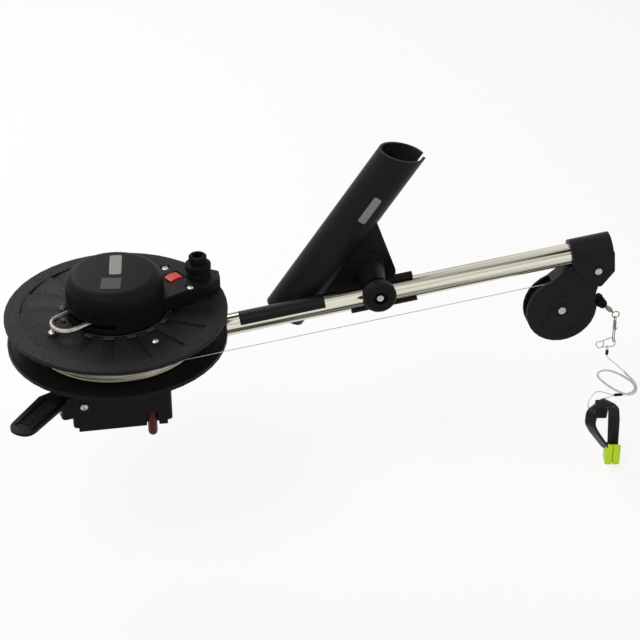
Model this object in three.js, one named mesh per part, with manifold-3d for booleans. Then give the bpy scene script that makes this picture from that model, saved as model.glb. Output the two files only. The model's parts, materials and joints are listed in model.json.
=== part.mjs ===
// An electric downrigger: a horizontal cable spool with a motor on top, a steel boom with a rod holder,
// and a pulley head that carries the cable out to a swivel, a snap, a leader and a line release.
// Millimetres, +Z up. The origin is the middle of the mounting foot, +X runs out along the boom.
import * as THREE from 'three';
import { mergeVertices } from 'three/addons/utils/BufferGeometryUtils.js';
import Module from 'manifold-3d';

const wasm = await Module();
wasm.setup();

// Fits that every piece shares, and the share of the gap within which two corners are one.
const seatGap = 0.3;
const cutOverrun = 4;
const weldShare = 0.001;

// How many flats or steps stand for each kind of curve.
const fine = 48;
const tubeSides = 36;
const coverSides = 30;
const round = 24;
const pinSides = 20;
const small = 12;
const crimpSides = 10;
const wireSides = 8;
const hexSides = 6;
const squareSides = 4;
const ringSteps = 16;
const endSteps = 8;
const arcSteps = 6;
const cornerSteps = 4;
const wideCornerSteps = 6;
const padCornerSteps = 3;
const blockCornerSteps = 2;
const brakeRodSteps = 26;
const cableSteps = 50;
const leaderSteps = 14;
const sleeveSteps = 48;
const bridleSteps = 32;

// The foot, the base housing and its wall.
const footLeft = 59;
const footRight = 54;
const footHalfWidth = 50;
const baseTopZ = 84;
const baseWall = 5;
const baseCorner = 6;
const footPlateThickness = 5;
const footPlateInset = 2;
const footHoleSpacingX = 84;
const footHoleSpacingY = 66;
const footHoleRadius = 3.2;

// The spindle, its bearings and the stack of the spool above the base.
const spindleRadius = 8;
const spindleBossRadius = 16;
const spindleBossHeight = 2.2;
const spindleDepth = 34;
const nutBoreRadius = 6.8;
const nutRadius = 12;
const washerThickness = 2.6;
const bearingRadius = 17;
const bearingHeight = 8;
const hubWall = 5.5;

// The spool.
const upperFlangeRadius = 125.7;
const flangeStepIn = 1.2;
const lowerFlangeRadius = upperFlangeRadius - flangeStepIn;
const lowerFlangeThickness = 2.6;
const spoolWidth = 31.6;
const upperFlangeThickness = 4.4;
const flangeLipHeight = 2.2;
const flangeLipWidth = 2.5;
const flangeLipFoot = 3.5;
const drumRadius = 88;
const drumWall = 11.5;
const screwCircleRadius = 82.4;
const screwCircleTurn = THREE.MathUtils.degToRad(26.6);
const spoolScrewCount = 4;
const rampOuterRadius = 108.5;
const rampInnerRadius = 61;
const rampDepth = 2.4;
const rampCount = 16;
const rampTurn = THREE.MathUtils.degToRad(17.4);
const bladeShare = 0.985;
const bladeLevels = 4;

// The cable and its winding: the outer layer winds, the layers under it are a plain ring.
const cableDiameter = 0.85;
const cableDrop = 14.2;
const cableLap = THREE.MathUtils.degToRad(28.65);
const cableLapSteps = 5;
const cableRunSteps = 24;
const cableBendSteps = 5;
const cableTailSteps = 5;
const windRadius = 94.1;
const windLoops = 15;
const windSteps = 24;
const windSides = 6;
const windMargin = 0.35;

// The motor base, its arm and its cover.
const motorBaseRadius = 56;
const motorBaseHeight = 18;
const motorBaseWall = 4.5;
const motorBaseRise = 1.6;
const coverRadius = 55;
const coverHeight = 28.9;
const coverWall = 3;
const coverFillet = 14;
const armCentreY = 24;
const armReach = 96.4;
const armTipHalfWidth = 24;
const armSpread = THREE.MathUtils.degToRad(26);
const armHeight = 16.5;
const armRootX = 28;
const armEdge = 1.2;
const armNoseReach = 24;
const armNoseHalfWidth = 8.5;
const armNoseDrop = 2;

// The drive train under the motor base.
const gearModule = 1.5;
const gearTeeth = 32;
const pinionTeeth = 8;
const gearThickness = 6;
const toothShares = [[-0.32, -1.15], [-0.1, 0.75], [0.1, 0.75], [0.32, -1.15]];
const pinionShaftRadius = 2.5;
const motorRadius = 16;
const motorHeight = 22;

// The brake ring and its bent lever.
const brakeRingOuter = 49.5;
const brakeRingInner = 43.5;
const brakeRingThickness = 8;
const brakeRodDiameter = 5.6;
const brakeRodReach = 84.5;
const brakeRodSpread = 33;
const brakeBowShare = 0.94;
const brakeRodTurn = THREE.MathUtils.degToRad(212.5);
const brakeTravel = THREE.MathUtils.degToRad(30);

// The switch on the arm and the two screws beside it.
const switchLength = 16.5;
const switchWidth = 12.6;
const switchHeight = 5;
const switchRise = 1.8;
const switchClear = 0.5;
const switchFromTip = 28.4;
const switchX = armReach - switchFromTip;
const switchTurn = THREE.MathUtils.degToRad(30);
const switchRecess = 1.6;
const armScrewSpread = 51.6;
const armScrewFromTip = 23.6;
const armScrewX = armReach - armScrewFromTip;
const armScrewTurn = THREE.MathUtils.degToRad(-62.7);
const screwHeadRadius = 4.3;
const screwHeadHeight = 2.8;
const screwShankRadius = 2.1;
const screwShankLength = 11;
const screwDrive = 2.2;
const screwDriveDepth = 1.6;
const screwDriveTaperShare = 0.8;
const screwCrownShare = 0.55;
const screwRimShare = 0.45;
const screwTurnStep = THREE.MathUtils.degToRad(36);
const counterbore = 1.4;

// The power socket that stands on the arm's nose: rings and necks from its foot up.
const socketPastTip = 0.2;
const socketX = armReach + socketPastTip;
const socketFootRadius = 14;
const socketWaistRadius = 12.4;
const socketCollarRadius = 14.8;
const socketNeckRadius = 9.2;
const socketMouthRadius = 10.3;
const socketFootHeight = 5;
const socketWaistHeight = 3;
const socketCollarHeight = 8;
const socketNeckHeight = 2.4;
const socketMouthHeight = 7.4;
const socketHexFlat = 6;
const socketHexDepth = 13;
const socketEdge = 1.2;

// The boom, and the axis that it follows: it leaves the base behind the spindle and climbs outwards.
const boomDiameter = 25.4;
const boomWall = 1.6;
const boomLength = 610;
const boomY = 28;
const boomAxisZ = 58.2;
const boomSlope = THREE.MathUtils.degToRad(7.67);
const boomRootS = -25;
const sleeveWall = 5;
const sleeveReach = 16;

// The rod holder, its clamp and its knob, on a cross bolt above the boom.
const holderDiameter = 51;
const holderWall = 3;
const holderLength = 253;
const holderY = 68;
const holderLean = THREE.MathUtils.degToRad(55.4);
const holderMouthLean = THREE.MathUtils.degToRad(22);
const holderBelowPivot = 72;
const holderPivotOffset = 57;
const holderFloor = 4;
const holderDrain = 8;
const holderSlotWidth = 11;
const holderSlotLength = 38;
const webThickness = 8.5;
const webReachX = 32;
const webTopX = 9.5;
const webTopZ = 58;
const webLowZ = 14;
const webShoulderZ = 5.6;
const webRootX = 28.5;
const webTailX = 34;
const webTailZ = 29;
const webTailDrop = 40.6;
const webCorner = 12;
const webHubRadius = 20;
const webHubWaistShare = 0.9;
const webHubHeight = 4;
const pivotX = 300;
const pivotRise = 22.5;
const boltDiameter = 7.9;
const bossRadius = 12;
const bossBackRadius = 17;
const clampWall = 3.7;
const clampUpperRootLength = 44;
const clampUpperTipLength = 46;
const clampLowerRootLength = 31;
const clampLowerTipLength = 47;
const clampUpperFrontAngle = THREE.MathUtils.degToRad(10);
const clampUpperBackAngle = THREE.MathUtils.degToRad(58);
const clampLowerHalfAngle = THREE.MathUtils.degToRad(49);
const clampCradleHalfAngle = THREE.MathUtils.degToRad(76);
const earThickness = 5;
const nearEarHalfWidth = 13;
const farEarHalfWidth = 17.5;
const ridgeRadius = 4.2;
const ridgeLength = 22;
const knobRadius = 19.6;
const knobThickness = 13;
const knobNeckRadius = 12.5;
const knobNeckLength = 13;
const knobNeckTaperShare = 0.85;
const knobLobes = 12;
const knobLobeDepth = 1;
const knobRecessRadius = 8.6;
const knobRecessDepth = 5;
const knobEdge = 2.6;

// The boom's end cap and the pulley head that hangs in it.
const capLength = 49;
const capWall = 4.2;
const capEndWall = 4;
const capScrewFromEnd = 20.5;
const capScrewDrop = 19.8;
const capCheekDrop = 43.8;
const capCheekSpread = 30;
const capChamfer = 18;
const capSlotHalf = 10;
const capRootDrop = 8.89;
const capHeelRise = 5.4;
const pulleyX = 528.5;
const grooveRadius = 34.4;
const cableSeat = 0.48;
const wheelFlangeRadius = 38.8;
const wheelHalfWidth = 5;
const wheelBore = 4.2;
const wheelHubRadius = 9;
const wheelRimShare = 0.86;
const grooveHalfWidth = 2.2;
const housingRadius = 43.1;
const housingHalfWidth = 9.2;
const housingCheek = 2.5;
const housingFrom = THREE.MathUtils.degToRad(111.6);
const housingSweep = THREE.MathUtils.degToRad(270);
const housingSteps = 22;
const housingSlotReach = 69;
const neckMargin = 8.6;
const neckShares = [[1.1, -0.6], [0.9, 0.9], [-0.6, 1.4], [-2.4, 1.4]];
const slotFrom = THREE.MathUtils.degToRad(110);
const slotTo = THREE.MathUtils.degToRad(384);
const exitBore = 3.2;
const exitBoreLength = 16.2;
const exitConeLength = 22.95;
const housingRelief = 1;
const axleRadius = 4;
const axleHeadRadius = 4.4;
const axleHeadHeight = 1.6;

// The end tackle, from the cable stop down.
const stopLength = 17;
const stopRadius = 8.6;
const stopTipRadius = 5.4;
const stopRibs = 3;
const stopRibStartShare = 0.5;
const stopGrooveShare = 0.74;
const stopTailShare = 0.8;
const stopRibShares = [-0.08, 0.06, 0.1];
const stopAngle = THREE.MathUtils.degToRad(-44);
const stopFromTangent = 27;
const swivelLength = 15;
const swivelRadius = 3.2;
const swivelShares = [
  [0.3, 0], [0.35, 0.14], [0.85, 0.26], [1, 0.5], [0.85, 0.74], [0.45, 0.88], [0.3, 1],
];
const ringRadius = 4.4;
const ringWire = 1.4;
const snapLength = 37.7;
const snapWidth = 7;
const snapWire = 1.2;
const clipLength = 24;
const clipHeight = 9.5;
const clipWire = 1;
const clipRightMargin = 4.6;
const eyeRadius = 2.6;
const eyeWire = 0.9;
const eyeSlack = 0.42;
const crimpLength = 6;
const lowerCrimpLength = 10;
const crimpRadius = 1.9;
const leaderDiameter = 1;
const sleeveDiameter = 2.6;
const bridleDiameter = 0.9;
const releaseSpread = 44;
const releaseHeight = 68;
const releaseWidth = 17;
const releaseThickness = 3;
const releaseTip = 13;
const releaseTurn = THREE.MathUtils.degToRad(28);
const releaseLean = THREE.MathUtils.degToRad(-16);
const releaseAside = 19;
const strapTipShares = [0.7, 0.3];
const strapShares = [[0.7, 0, 0.5], [1.02, 0.75, 0.6], [0.86, 1.5, 0.4]];
const bridleShares = [
  [0.8, 1.9], [-0.4, 2], [-1.7, 1.2], [-1.9, 0.4], [-1.3, 0], [-0.5, 0], [0.5, 0], [1.2, 0],
];
const bridleRootShares = [[0, 0.8], [2, 0.8]];
const bridleReturnShares = [[4, 2], [2, 0.8], [0, 0.8]];
const padHeight = 30;
const padThickness = 7.4;
const padWidth = 19;
const padEdge = 2.4;
const padShoulderShare = 0.6;
const padTipShare = 0.78;
const padTipWidthShare = 0.7;
const blockWidth = 15;
const blockHeight = 17;
const blockDepth = 21;
const blockEdge = 2;
const blockStandout = 6;
const blockHole = 2.4;
const blockHoleDrop = 3.12;
const blockTaperShare = 0.9;
const blockHoleY = 4;
const blockDrop = 6;

// The latch lever beside the base and the red lock pin under its front wall.
const leverPivotX = -70.2;
const leverPivotY = -40.6;
const leverZ = 46;
const leverThickness = 4;
const leverLength = 70;
const leverRootWidth = 34.8;
const leverTipWidth = 30.2;
const leverEyeRadius = 9;
const leverNeck = 17;
const leverTurn = THREE.MathUtils.degToRad(233.2);
const leverSlots = 9;
const leverSlotWidth = 3.2;
const leverSlotLength = 18;
const leverSlotPitch = 5.6;
const leverRim = 1.4;
const leverRimWidth = 3;
const leverHeelShares = [0.9, 0.5];
const leverSlotStart = 21.48;
const leverPinRadius = 3.4;
const leverPinHeadRadius = 5.78;
const leverPinHeadHeight = 2.1;
const lugBottomZ = 18;
const lugHalfWidth = 10;
const lockPinX = 31;
const lockPinY = -39;
const lockPinRadius = 5.5;
const lockPinDrop = 21;
const lockPinRise = 34;
const noseSteps = 3;
const notchWidth = 15;
const notchHeight = 17;
const notchTaper = 2;
const baseScrewX = -45.4;
const baseScrewZ = 34;

const black = { color: 0x1d1c1e, roughness: 0.55, metalness: 0 };
const darkRubber = { color: 0x171717, roughness: 0.8, metalness: 0 };
const steel = { color: 0xc9c7bd, roughness: 0.22, metalness: 1 };
const cableSteel = { color: 0xa9a48f, roughness: 0.45, metalness: 0.8 };
const red = { color: 0xc9423c, roughness: 0.45, metalness: 0 };
const darkRed = { color: 0x7a1f22, roughness: 0.4, metalness: 0 };
const brassWire = { color: 0xa89d78, roughness: 0.35, metalness: 0.9 };
const clearSleeve = { color: 0xc9c9c2, roughness: 0.4, metalness: 0 };
const lime = { color: 0xb4dd1e, roughness: 0.5, metalness: 0 };

const downrigger = new THREE.Group();

// A closed geometry as a solid that can be joined and cut.
function solid(geometry) {
  const plain = geometry.clone();
  for (const key of Object.keys(plain.attributes)) {
    if (key !== 'position') plain.deleteAttribute(key);
  }
  const merged = mergeVertices(plain, seatGap * weldShare);
  const index = merged.index.array;
  const kept = [];
  for (let i = 0; i < index.length; i += 3) {
    const [a, b, c] = [index[i], index[i + 1], index[i + 2]];
    if (a !== b && b !== c && c !== a) kept.push(a, b, c);
  }
  return new wasm.Manifold(new wasm.Mesh({
    numProp: 3,
    vertProperties: new Float32Array(merged.attributes.position.array),
    triVerts: new Uint32Array(kept),
  }));
}

function geometryOf(manifold) {
  const mesh = manifold.getMesh();
  const geometry = new THREE.BufferGeometry();
  geometry.setAttribute('position', new THREE.BufferAttribute(new Float32Array(mesh.vertProperties), 3));
  geometry.setIndex(new THREE.BufferAttribute(new Uint32Array(mesh.triVerts), 1));
  return geometry;
}

function add(name, shape, look, parent = downrigger) {
  const geometry = shape.isBufferGeometry ? shape : geometryOf(shape);
  geometry.computeVertexNormals();
  const mesh = new THREE.Mesh(geometry, new THREE.MeshStandardMaterial(look));
  mesh.name = name;
  parent.add(mesh);
  return mesh;
}

// A box between two corners.
function box([x0, y0, z0], [x1, y1, z1]) {
  const geometry = new THREE.BoxGeometry(x1 - x0, y1 - y0, z1 - z0);
  return solid(geometry.translate((x0 + x1) / 2, (y0 + y1) / 2, (z0 + z1) / 2));
}

// A turned shape about +Z from a closed outline of [radius, height] points.
function turned(outline, segments = round) {
  const points = [...outline, outline[0]].map(([r, z]) => new THREE.Vector2(r, z));
  return solid(new THREE.LatheGeometry(points, segments).rotateX(Math.PI / 2));
}

// A turned solid whose outline starts and ends on the axis.
function turnedSolid(outline, segments = round) {
  const [, first] = outline[0];
  const [, last] = outline[outline.length - 1];
  return turned([[0, first], ...outline, [0, last]], segments);
}

// A round bar along +Z.
function bar(radius, bottom, top, x = 0, y = 0, segments = round) {
  const geometry = new THREE.CylinderGeometry(radius, radius, top - bottom, segments);
  return solid(geometry.rotateX(Math.PI / 2).translate(x, y, (bottom + top) / 2));
}

// A round bar along +Y.
function crossBar(radius, y0, y1, x, z, segments = round, endRadius = radius) {
  const geometry = new THREE.CylinderGeometry(endRadius, radius, y1 - y0, segments);
  return solid(geometry.translate(x, (y0 + y1) / 2, z));
}

// A flat outline in X and Y pushed up along +Z.
function slab(outline, bottom, top) {
  const shape = outline instanceof THREE.Shape
    ? outline : new THREE.Shape(outline.map(([x, y]) => new THREE.Vector2(x, y)));
  const geometry = new THREE.ExtrudeGeometry(shape,
    { depth: top - bottom, bevelEnabled: false, curveSegments: arcSteps });
  return solid(geometry.translate(0, 0, bottom));
}

// A flat outline in X and Z pushed along +Y.
function panel(outline, y0, y1) {
  const shape = outline instanceof THREE.Shape
    ? outline : new THREE.Shape(outline.map(([x, z]) => new THREE.Vector2(x, z)));
  const geometry = new THREE.ExtrudeGeometry(shape,
    { depth: y1 - y0, bevelEnabled: false, curveSegments: arcSteps });
  return solid(geometry.rotateX(Math.PI / 2).translate(0, y1, 0));
}

// An outline whose corners are cut by arcs: each point is [x, y, corner radius].
function roundedOutline(points, steps = cornerSteps) {
  const outline = [];
  points.forEach(([x, y, radius = 0], i) => {
    const here = new THREE.Vector2(x, y);
    const before = new THREE.Vector2(...points.at(i - 1).slice(0, 2)).sub(here);
    const after = new THREE.Vector2(...points[(i + 1) % points.length].slice(0, 2)).sub(here);
    const half = Math.acos(THREE.MathUtils.clamp(before.clone().normalize()
      .dot(after.clone().normalize()), -1, 1)) / 2;
    const reach = Math.min(radius / Math.tan(half), before.length() / 2, after.length() / 2);
    if (reach === 0) {
      outline.push([x, y]);
      return;
    }
    const start = here.clone().addScaledVector(before.normalize(), reach);
    const end = here.clone().addScaledVector(after.normalize(), reach);
    const curve = new THREE.QuadraticBezierCurve(start, here, end);
    for (const p of curve.getPoints(steps)) outline.push([p.x, p.y]);
  });
  return outline;
}

// A round rod along a curve, closed at both ends.
function tube(curve, diameter, steps, sides = wireSides) {
  const section = new THREE.Shape();
  for (let i = 0; i < sides; i += 1) {
    const turn = (i / sides) * 2 * Math.PI;
    const [x, y] = [Math.cos(turn) * diameter / 2, Math.sin(turn) * diameter / 2];
    if (i === 0) section.moveTo(x, y);
    else section.lineTo(x, y);
  }
  section.closePath();
  return new THREE.ExtrudeGeometry(section, { steps, extrudePath: curve, bevelEnabled: false });
}

// A wire ring that closes on itself, in the plane square to the axis given.
function wireRing(radius, wire, axis) {
  const geometry = new THREE.TorusGeometry(radius, wire / 2, hexSides, ringSteps);
  if (axis === 'x') geometry.rotateY(Math.PI / 2);
  if (axis === 'y') geometry.rotateX(Math.PI / 2);
  return solid(geometry);
}

// A long wire link with round ends, lying along +X in the plane of X and Z, centred.
function wireLink(length, height, wire) {
  const bend = height / 2 - wire / 2;
  const straight = length / 2 - height / 2;
  const rings = [];
  for (let end = 0; end < 2; end += 1) {
    const centre = end === 0 ? straight : -straight;
    for (let i = 0; i <= endSteps; i += 1) {
      const turn = -Math.PI / 2 + Math.PI * (end + i / endSteps);
      rings.push({ at: new THREE.Vector3(centre + bend * Math.cos(turn), 0, bend * Math.sin(turn)), turn });
    }
  }
  const sides = hexSides;
  const positions = [];
  for (const { at, turn } of rings) {
    const out = new THREE.Vector3(Math.cos(turn), 0, Math.sin(turn));
    for (let k = 0; k < sides; k += 1) {
      const angle = (k / sides) * 2 * Math.PI;
      positions.push(
        at.x + (out.x * Math.cos(angle)) * wire / 2,
        Math.sin(angle) * wire / 2,
        at.z + (out.z * Math.cos(angle)) * wire / 2,
      );
    }
  }
  const index = [];
  for (let r = 0; r < rings.length; r += 1) {
    const next = (r + 1) % rings.length;
    for (let k = 0; k < sides; k += 1) {
      const l = (k + 1) % sides;
      const [a, b, c, d] = [r * sides + k, r * sides + l, next * sides + l, next * sides + k];
      index.push(a, b, c, a, c, d);
    }
  }
  const geometry = new THREE.BufferGeometry();
  geometry.setAttribute('position', new THREE.Float32BufferAttribute(positions, 3));
  geometry.setIndex(index);
  return solid(geometry);
}

// A pan-head screw on +Z with its seat at the height given: the head stands above it.
function panScrew(seatZ, shankLength = screwShankLength) {
  const crown = screwHeadRadius * screwCrownShare;
  const head = turnedSolid([
    [screwShankRadius, seatZ - shankLength],
    [screwShankRadius, seatZ],
    [screwHeadRadius, seatZ],
    [screwHeadRadius, seatZ + screwHeadHeight * screwRimShare],
    [crown, seatZ + screwHeadHeight],
  ], small);
  const drive = new THREE.CylinderGeometry(screwDrive, screwDrive * screwDriveTaperShare,
    screwDriveDepth + cutOverrun, squareSides);
  drive.rotateX(Math.PI / 2).translate(0, 0,
    seatZ + screwHeadHeight - screwDriveDepth + (screwDriveDepth + cutOverrun) / 2);
  return head.subtract(solid(drive));
}

// Heights of the stack, worked up from the base.
const washerZ = baseTopZ + spindleBossHeight + seatGap;
const spoolBottomZ = washerZ + washerThickness + seatGap;
const lowerFlangeTopZ = spoolBottomZ + lowerFlangeThickness;
const upperFlangeBottomZ = lowerFlangeTopZ + spoolWidth;
const flangeTopZ = upperFlangeBottomZ + upperFlangeThickness;
const motorBaseZ = flangeTopZ + motorBaseRise;
const motorBaseTopZ = motorBaseZ + motorBaseHeight;
const armTopZ = motorBaseTopZ + motorBaseRise;
const coverZ = motorBaseTopZ + seatGap;
const hubRadius = bearingRadius + seatGap + hubWall;
const gearRadius = gearModule * gearTeeth / 2;
const pinionRadius = gearModule * pinionTeeth / 2;
const motorY = gearRadius + pinionRadius;

// The mounting foot: a plate that closes the base and bolts down.
function makeFootPlate() {
  const outline = roundedOutline([
    [-footLeft + footPlateInset, -footHalfWidth + footPlateInset + baseWall, baseCorner],
    [footRight - footPlateInset, -footHalfWidth + footPlateInset + baseWall, baseCorner],
    [footRight - footPlateInset, footHalfWidth - footPlateInset, baseCorner],
    [-footLeft + footPlateInset, footHalfWidth - footPlateInset, baseCorner],
  ]);
  const hole = bar(lockPinRadius + seatGap, -cutOverrun, footPlateThickness + cutOverrun, lockPinX,
    lockPinY);
  let plate = slab(outline, 0, footPlateThickness).subtract(hole);
  for (const x of [-footHoleSpacingX / 2, footHoleSpacingX / 2]) {
    for (const y of [-footHoleSpacingY / 2, footHoleSpacingY / 2]) {
      plate = plate.subtract(bar(footHoleRadius, -cutOverrun, footPlateThickness + cutOverrun, x, y));
    }
  }
  return plate;
}

// The base housing: a hollow moulding with the spindle boss, the boom's sleeve and the lever's lug.
function makeBaseHousing() {
  const bottomZ = footPlateThickness + seatGap;
  const outer = slab(roundedOutline([
    [-footLeft, -footHalfWidth, baseCorner],
    [footRight, -footHalfWidth, baseCorner],
    [footRight, footHalfWidth, baseCorner],
    [-footLeft, footHalfWidth, baseCorner],
  ]), bottomZ, baseTopZ);
  const frontSkirt = box([-footLeft + baseCorner, -footHalfWidth, 0],
    [footRight - baseCorner, -footHalfWidth + baseWall, bottomZ + baseWall]);
  const inner = box(
    [-footLeft + baseWall, -footHalfWidth + baseWall, bottomZ - cutOverrun],
    [footRight - baseWall, footHalfWidth - baseWall, baseTopZ - baseWall],
  );
  const boss = bar(spindleBossRadius, baseTopZ - spindleDepth, baseTopZ + spindleBossHeight);
  const spindleHole = bar(spindleRadius + seatGap, baseTopZ - spindleDepth - cutOverrun,
    baseTopZ + cutOverrun * 2);
  const lug = slab(roundedOutline([
    [leverPivotX, leverPivotY - lugHalfWidth, lugHalfWidth / 2],
    [-footLeft + baseWall / 2, leverPivotY - lugHalfWidth + baseCorner / 2],
    [-footLeft + baseWall / 2, leverPivotY + lugHalfWidth],
    [leverPivotX - leverEyeRadius / 2, leverPivotY + lugHalfWidth, lugHalfWidth / 2],
  ]), lugBottomZ, leverZ - seatGap);
  const lugHole = bar(leverPinRadius + seatGap, lugBottomZ + baseWall, leverZ + cutOverrun, leverPivotX,
    leverPivotY, small);
  const notch = panel([
    [lockPinX - notchWidth / 2, -cutOverrun],
    [lockPinX + notchWidth / 2, -cutOverrun],
    [lockPinX + notchWidth / 2 - notchTaper, notchHeight],
    [lockPinX - notchWidth / 2 + notchTaper, notchHeight],
  ], -footHalfWidth - cutOverrun, -footHalfWidth + baseWall + cutOverrun / 4);
  const screwHole = crossBar(screwShankRadius + seatGap, -footHalfWidth - cutOverrun,
    footHalfWidth + cutOverrun, baseScrewX, baseScrewZ, small);
  const shell = outer.add(frontSkirt).subtract(inner).add(boss).add(sleeve()).add(lug);
  return shell.subtract(spindleHole).subtract(lugHole).subtract(notch).subtract(screwHole)
    .subtract(boomBore());
}

// The boom's own axis: a group whose +X runs along the tube.
const boomGroup = new THREE.Group();
boomGroup.position.set(0, boomY, boomAxisZ);
boomGroup.rotation.y = -boomSlope;
downrigger.add(boomGroup);

function alongBoom(geometry) {
  return geometry.rotateY(-boomSlope).translate(0, boomY, boomAxisZ);
}

// A bar along the boom's axis, in the part's own frame.
function boomBar(radius, from, to, segments = round) {
  const geometry = new THREE.CylinderGeometry(radius, radius, to - from, segments);
  return solid(alongBoom(geometry.rotateZ(Math.PI / 2).translate((from + to) / 2, 0, 0)));
}

function sleeve() {
  const radius = boomDiameter / 2 + seatGap + sleeveWall;
  const aroundBoom = boomBar(radius, boomRootS - sleeveWall, footRight + sleeveReach);
  const inside = box([-footLeft + baseWall / 2, 0, footPlateThickness + baseWall],
    [footRight + sleeveReach * 2, footHalfWidth, baseTopZ]);
  return aroundBoom.intersect(inside);
}

function boomBore() {
  return boomBar(boomDiameter / 2 + seatGap, boomRootS - seatGap, footRight + sleeveReach * 2);
}

function makeSpindle() {
  return bar(spindleRadius, baseTopZ - spindleDepth, motorBaseTopZ);
}

function ring(inner, outer, bottom, top, segments = round) {
  return turned([[inner, bottom], [outer, bottom], [outer, top], [inner, top]], segments);
}

// The spool's body: the lower flange with its lip, the drum and the hub in one moulding.
function makeSpoolBody() {
  const inner = bearingRadius + seatGap;
  const top = upperFlangeBottomZ - seatGap;
  const body = turned([
    [inner, spoolBottomZ],
    [lowerFlangeRadius, spoolBottomZ],
    [lowerFlangeRadius, lowerFlangeTopZ + flangeLipHeight],
    [lowerFlangeRadius - flangeLipWidth, lowerFlangeTopZ + flangeLipHeight],
    [lowerFlangeRadius - flangeLipFoot, lowerFlangeTopZ],
    [drumRadius, lowerFlangeTopZ],
    [drumRadius, top],
    [drumRadius - drumWall, top],
    [drumRadius - drumWall, lowerFlangeTopZ],
    [hubRadius, lowerFlangeTopZ],
    [hubRadius, top],
    [inner, top],
  ], fine);
  return spoolScrewPlaces().reduce((left, [x, y]) => left.subtract(
    bar(screwShankRadius + seatGap, top - screwShankLength, top + cutOverrun, x, y, small)), body);
}

function spoolScrewPlaces() {
  return Array.from({ length: spoolScrewCount }, (_, i) => {
    const turn = screwCircleTurn + 2 * Math.PI * i / spoolScrewCount;
    return [screwCircleRadius * Math.cos(turn), screwCircleRadius * Math.sin(turn)];
  });
}

// The upper flange: a rim, a recess of sixteen sloped blades and a lip round the hub. Each blade starts
// flush and falls to its far edge, where a narrow step climbs back to the next one.
function makeUpperFlange() {
  const chamfer = rampDepth / 4;
  const land = motorBaseRadius + motorBaseRise;
  const lipZ = flangeTopZ + seatGap;
  const profile = [
    [hubRadius, upperFlangeBottomZ],
    [upperFlangeRadius, upperFlangeBottomZ],
    [upperFlangeRadius, flangeTopZ - chamfer],
    [upperFlangeRadius - chamfer, flangeTopZ],
    [rampOuterRadius, flangeTopZ],
    [rampOuterRadius, null],
    [rampInnerRadius, null],
    [rampInnerRadius - rampDepth / 2, lipZ],
    [land, lipZ],
    [land, flangeTopZ - rampDepth],
    [hubRadius, flangeTopZ - rampDepth],
    [hubRadius, upperFlangeBottomZ],
  ];
  const segments = rampCount * bladeLevels;
  const geometry = new THREE.LatheGeometry(profile.map(([r]) => new THREE.Vector2(r, 0)), segments);
  for (let i = 0; i <= segments; i += 1) {
    const share = (i % bladeLevels) / (bladeLevels - 1);
    const bladeIndex = Math.floor(i / bladeLevels);
    const angle = rampTurn + ((bladeIndex + share * bladeShare) / rampCount) * 2 * Math.PI;
    const slopeZ = flangeTopZ - seatGap / 3 - (rampDepth - seatGap / 3) * share;
    profile.forEach(([r, z], j) => {
      geometry.attributes.position.setXYZ(i * profile.length + j, r * Math.cos(angle),
        r * Math.sin(angle), z ?? slopeZ);
    });
  }
  let flange = solid(geometry);
  for (const [x, y] of spoolScrewPlaces()) {
    flange = flange.add(bar(screwHeadRadius + rampDepth, flangeTopZ - rampDepth - seatGap, flangeTopZ, x,
      y, small));
    flange = flange.subtract(bar(screwShankRadius + seatGap, upperFlangeBottomZ - cutOverrun,
      flangeTopZ + cutOverrun, x, y, small));
  }
  return flange;
}

const spoolScrewSeatZ = flangeTopZ + seatGap;
const windInnerRadius = windRadius * Math.cos(Math.PI / windSteps) - cableDiameter / 2 - seatGap;

// The lay of the cable's outer layer on the drum: one helix whose ends turn square to the flanges.
function windingPath(stepsPerLoop) {
  const low = lowerFlangeTopZ + windMargin + cableDiameter;
  const high = upperFlangeBottomZ - windMargin - cableDiameter;
  const total = windLoops * stepsPerLoop;
  const path = [];
  for (let i = 0; i <= total; i += 1) {
    const turn = (i / stepsPerLoop) * 2 * Math.PI;
    path.push(new THREE.Vector3(windRadius * Math.cos(turn), windRadius * Math.sin(turn),
      low + (high - low) * i / total));
  }
  path.unshift(path[0].clone().setZ(lowerFlangeTopZ + seatGap));
  path.push(path.at(-1).clone().setZ(upperFlangeBottomZ - seatGap));
  return path;
}

// A round tube through points, its section carried from ring to ring without twisting.
function woundTube(path, diameter, sides) {
  const positions = [];
  const index = [];
  let across = new THREE.Vector3(1, 0, 0);
  path.forEach((point, i) => {
    const before = path[Math.max(i - 1, 0)];
    const after = path[Math.min(i + 1, path.length - 1)];
    const inward = point.clone().sub(before).normalize();
    const outward = after.clone().sub(point).normalize();
    const along = inward.clone().add(outward).normalize();
    across.addScaledVector(along, -across.dot(along)).normalize();
    const other = along.clone().cross(across);
    for (let k = 0; k < sides; k += 1) {
      const turn = (k / sides) * 2 * Math.PI;
      const corner = point.clone()
        .addScaledVector(across, Math.cos(turn) * diameter / 2)
        .addScaledVector(other, Math.sin(turn) * diameter / 2);
      positions.push(corner.x, corner.y, corner.z);
    }
    if (i === 0) return;
    for (let k = 0; k < sides; k += 1) {
      const l = (k + 1) % sides;
      const [a, b, c, d] = [(i - 1) * sides + k, (i - 1) * sides + l, i * sides + l, i * sides + k];
      index.push(a, b, c, a, c, d);
    }
  });
  const last = (path.length - 1) * sides;
  for (let k = 1; k < sides - 1; k += 1) {
    index.push(0, k + 1, k);
    index.push(last, last + k, last + k + 1);
  }
  const geometry = new THREE.BufferGeometry();
  geometry.setAttribute('position', new THREE.Float32BufferAttribute(positions, 3));
  geometry.setIndex(index);
  return geometry;
}

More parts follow.
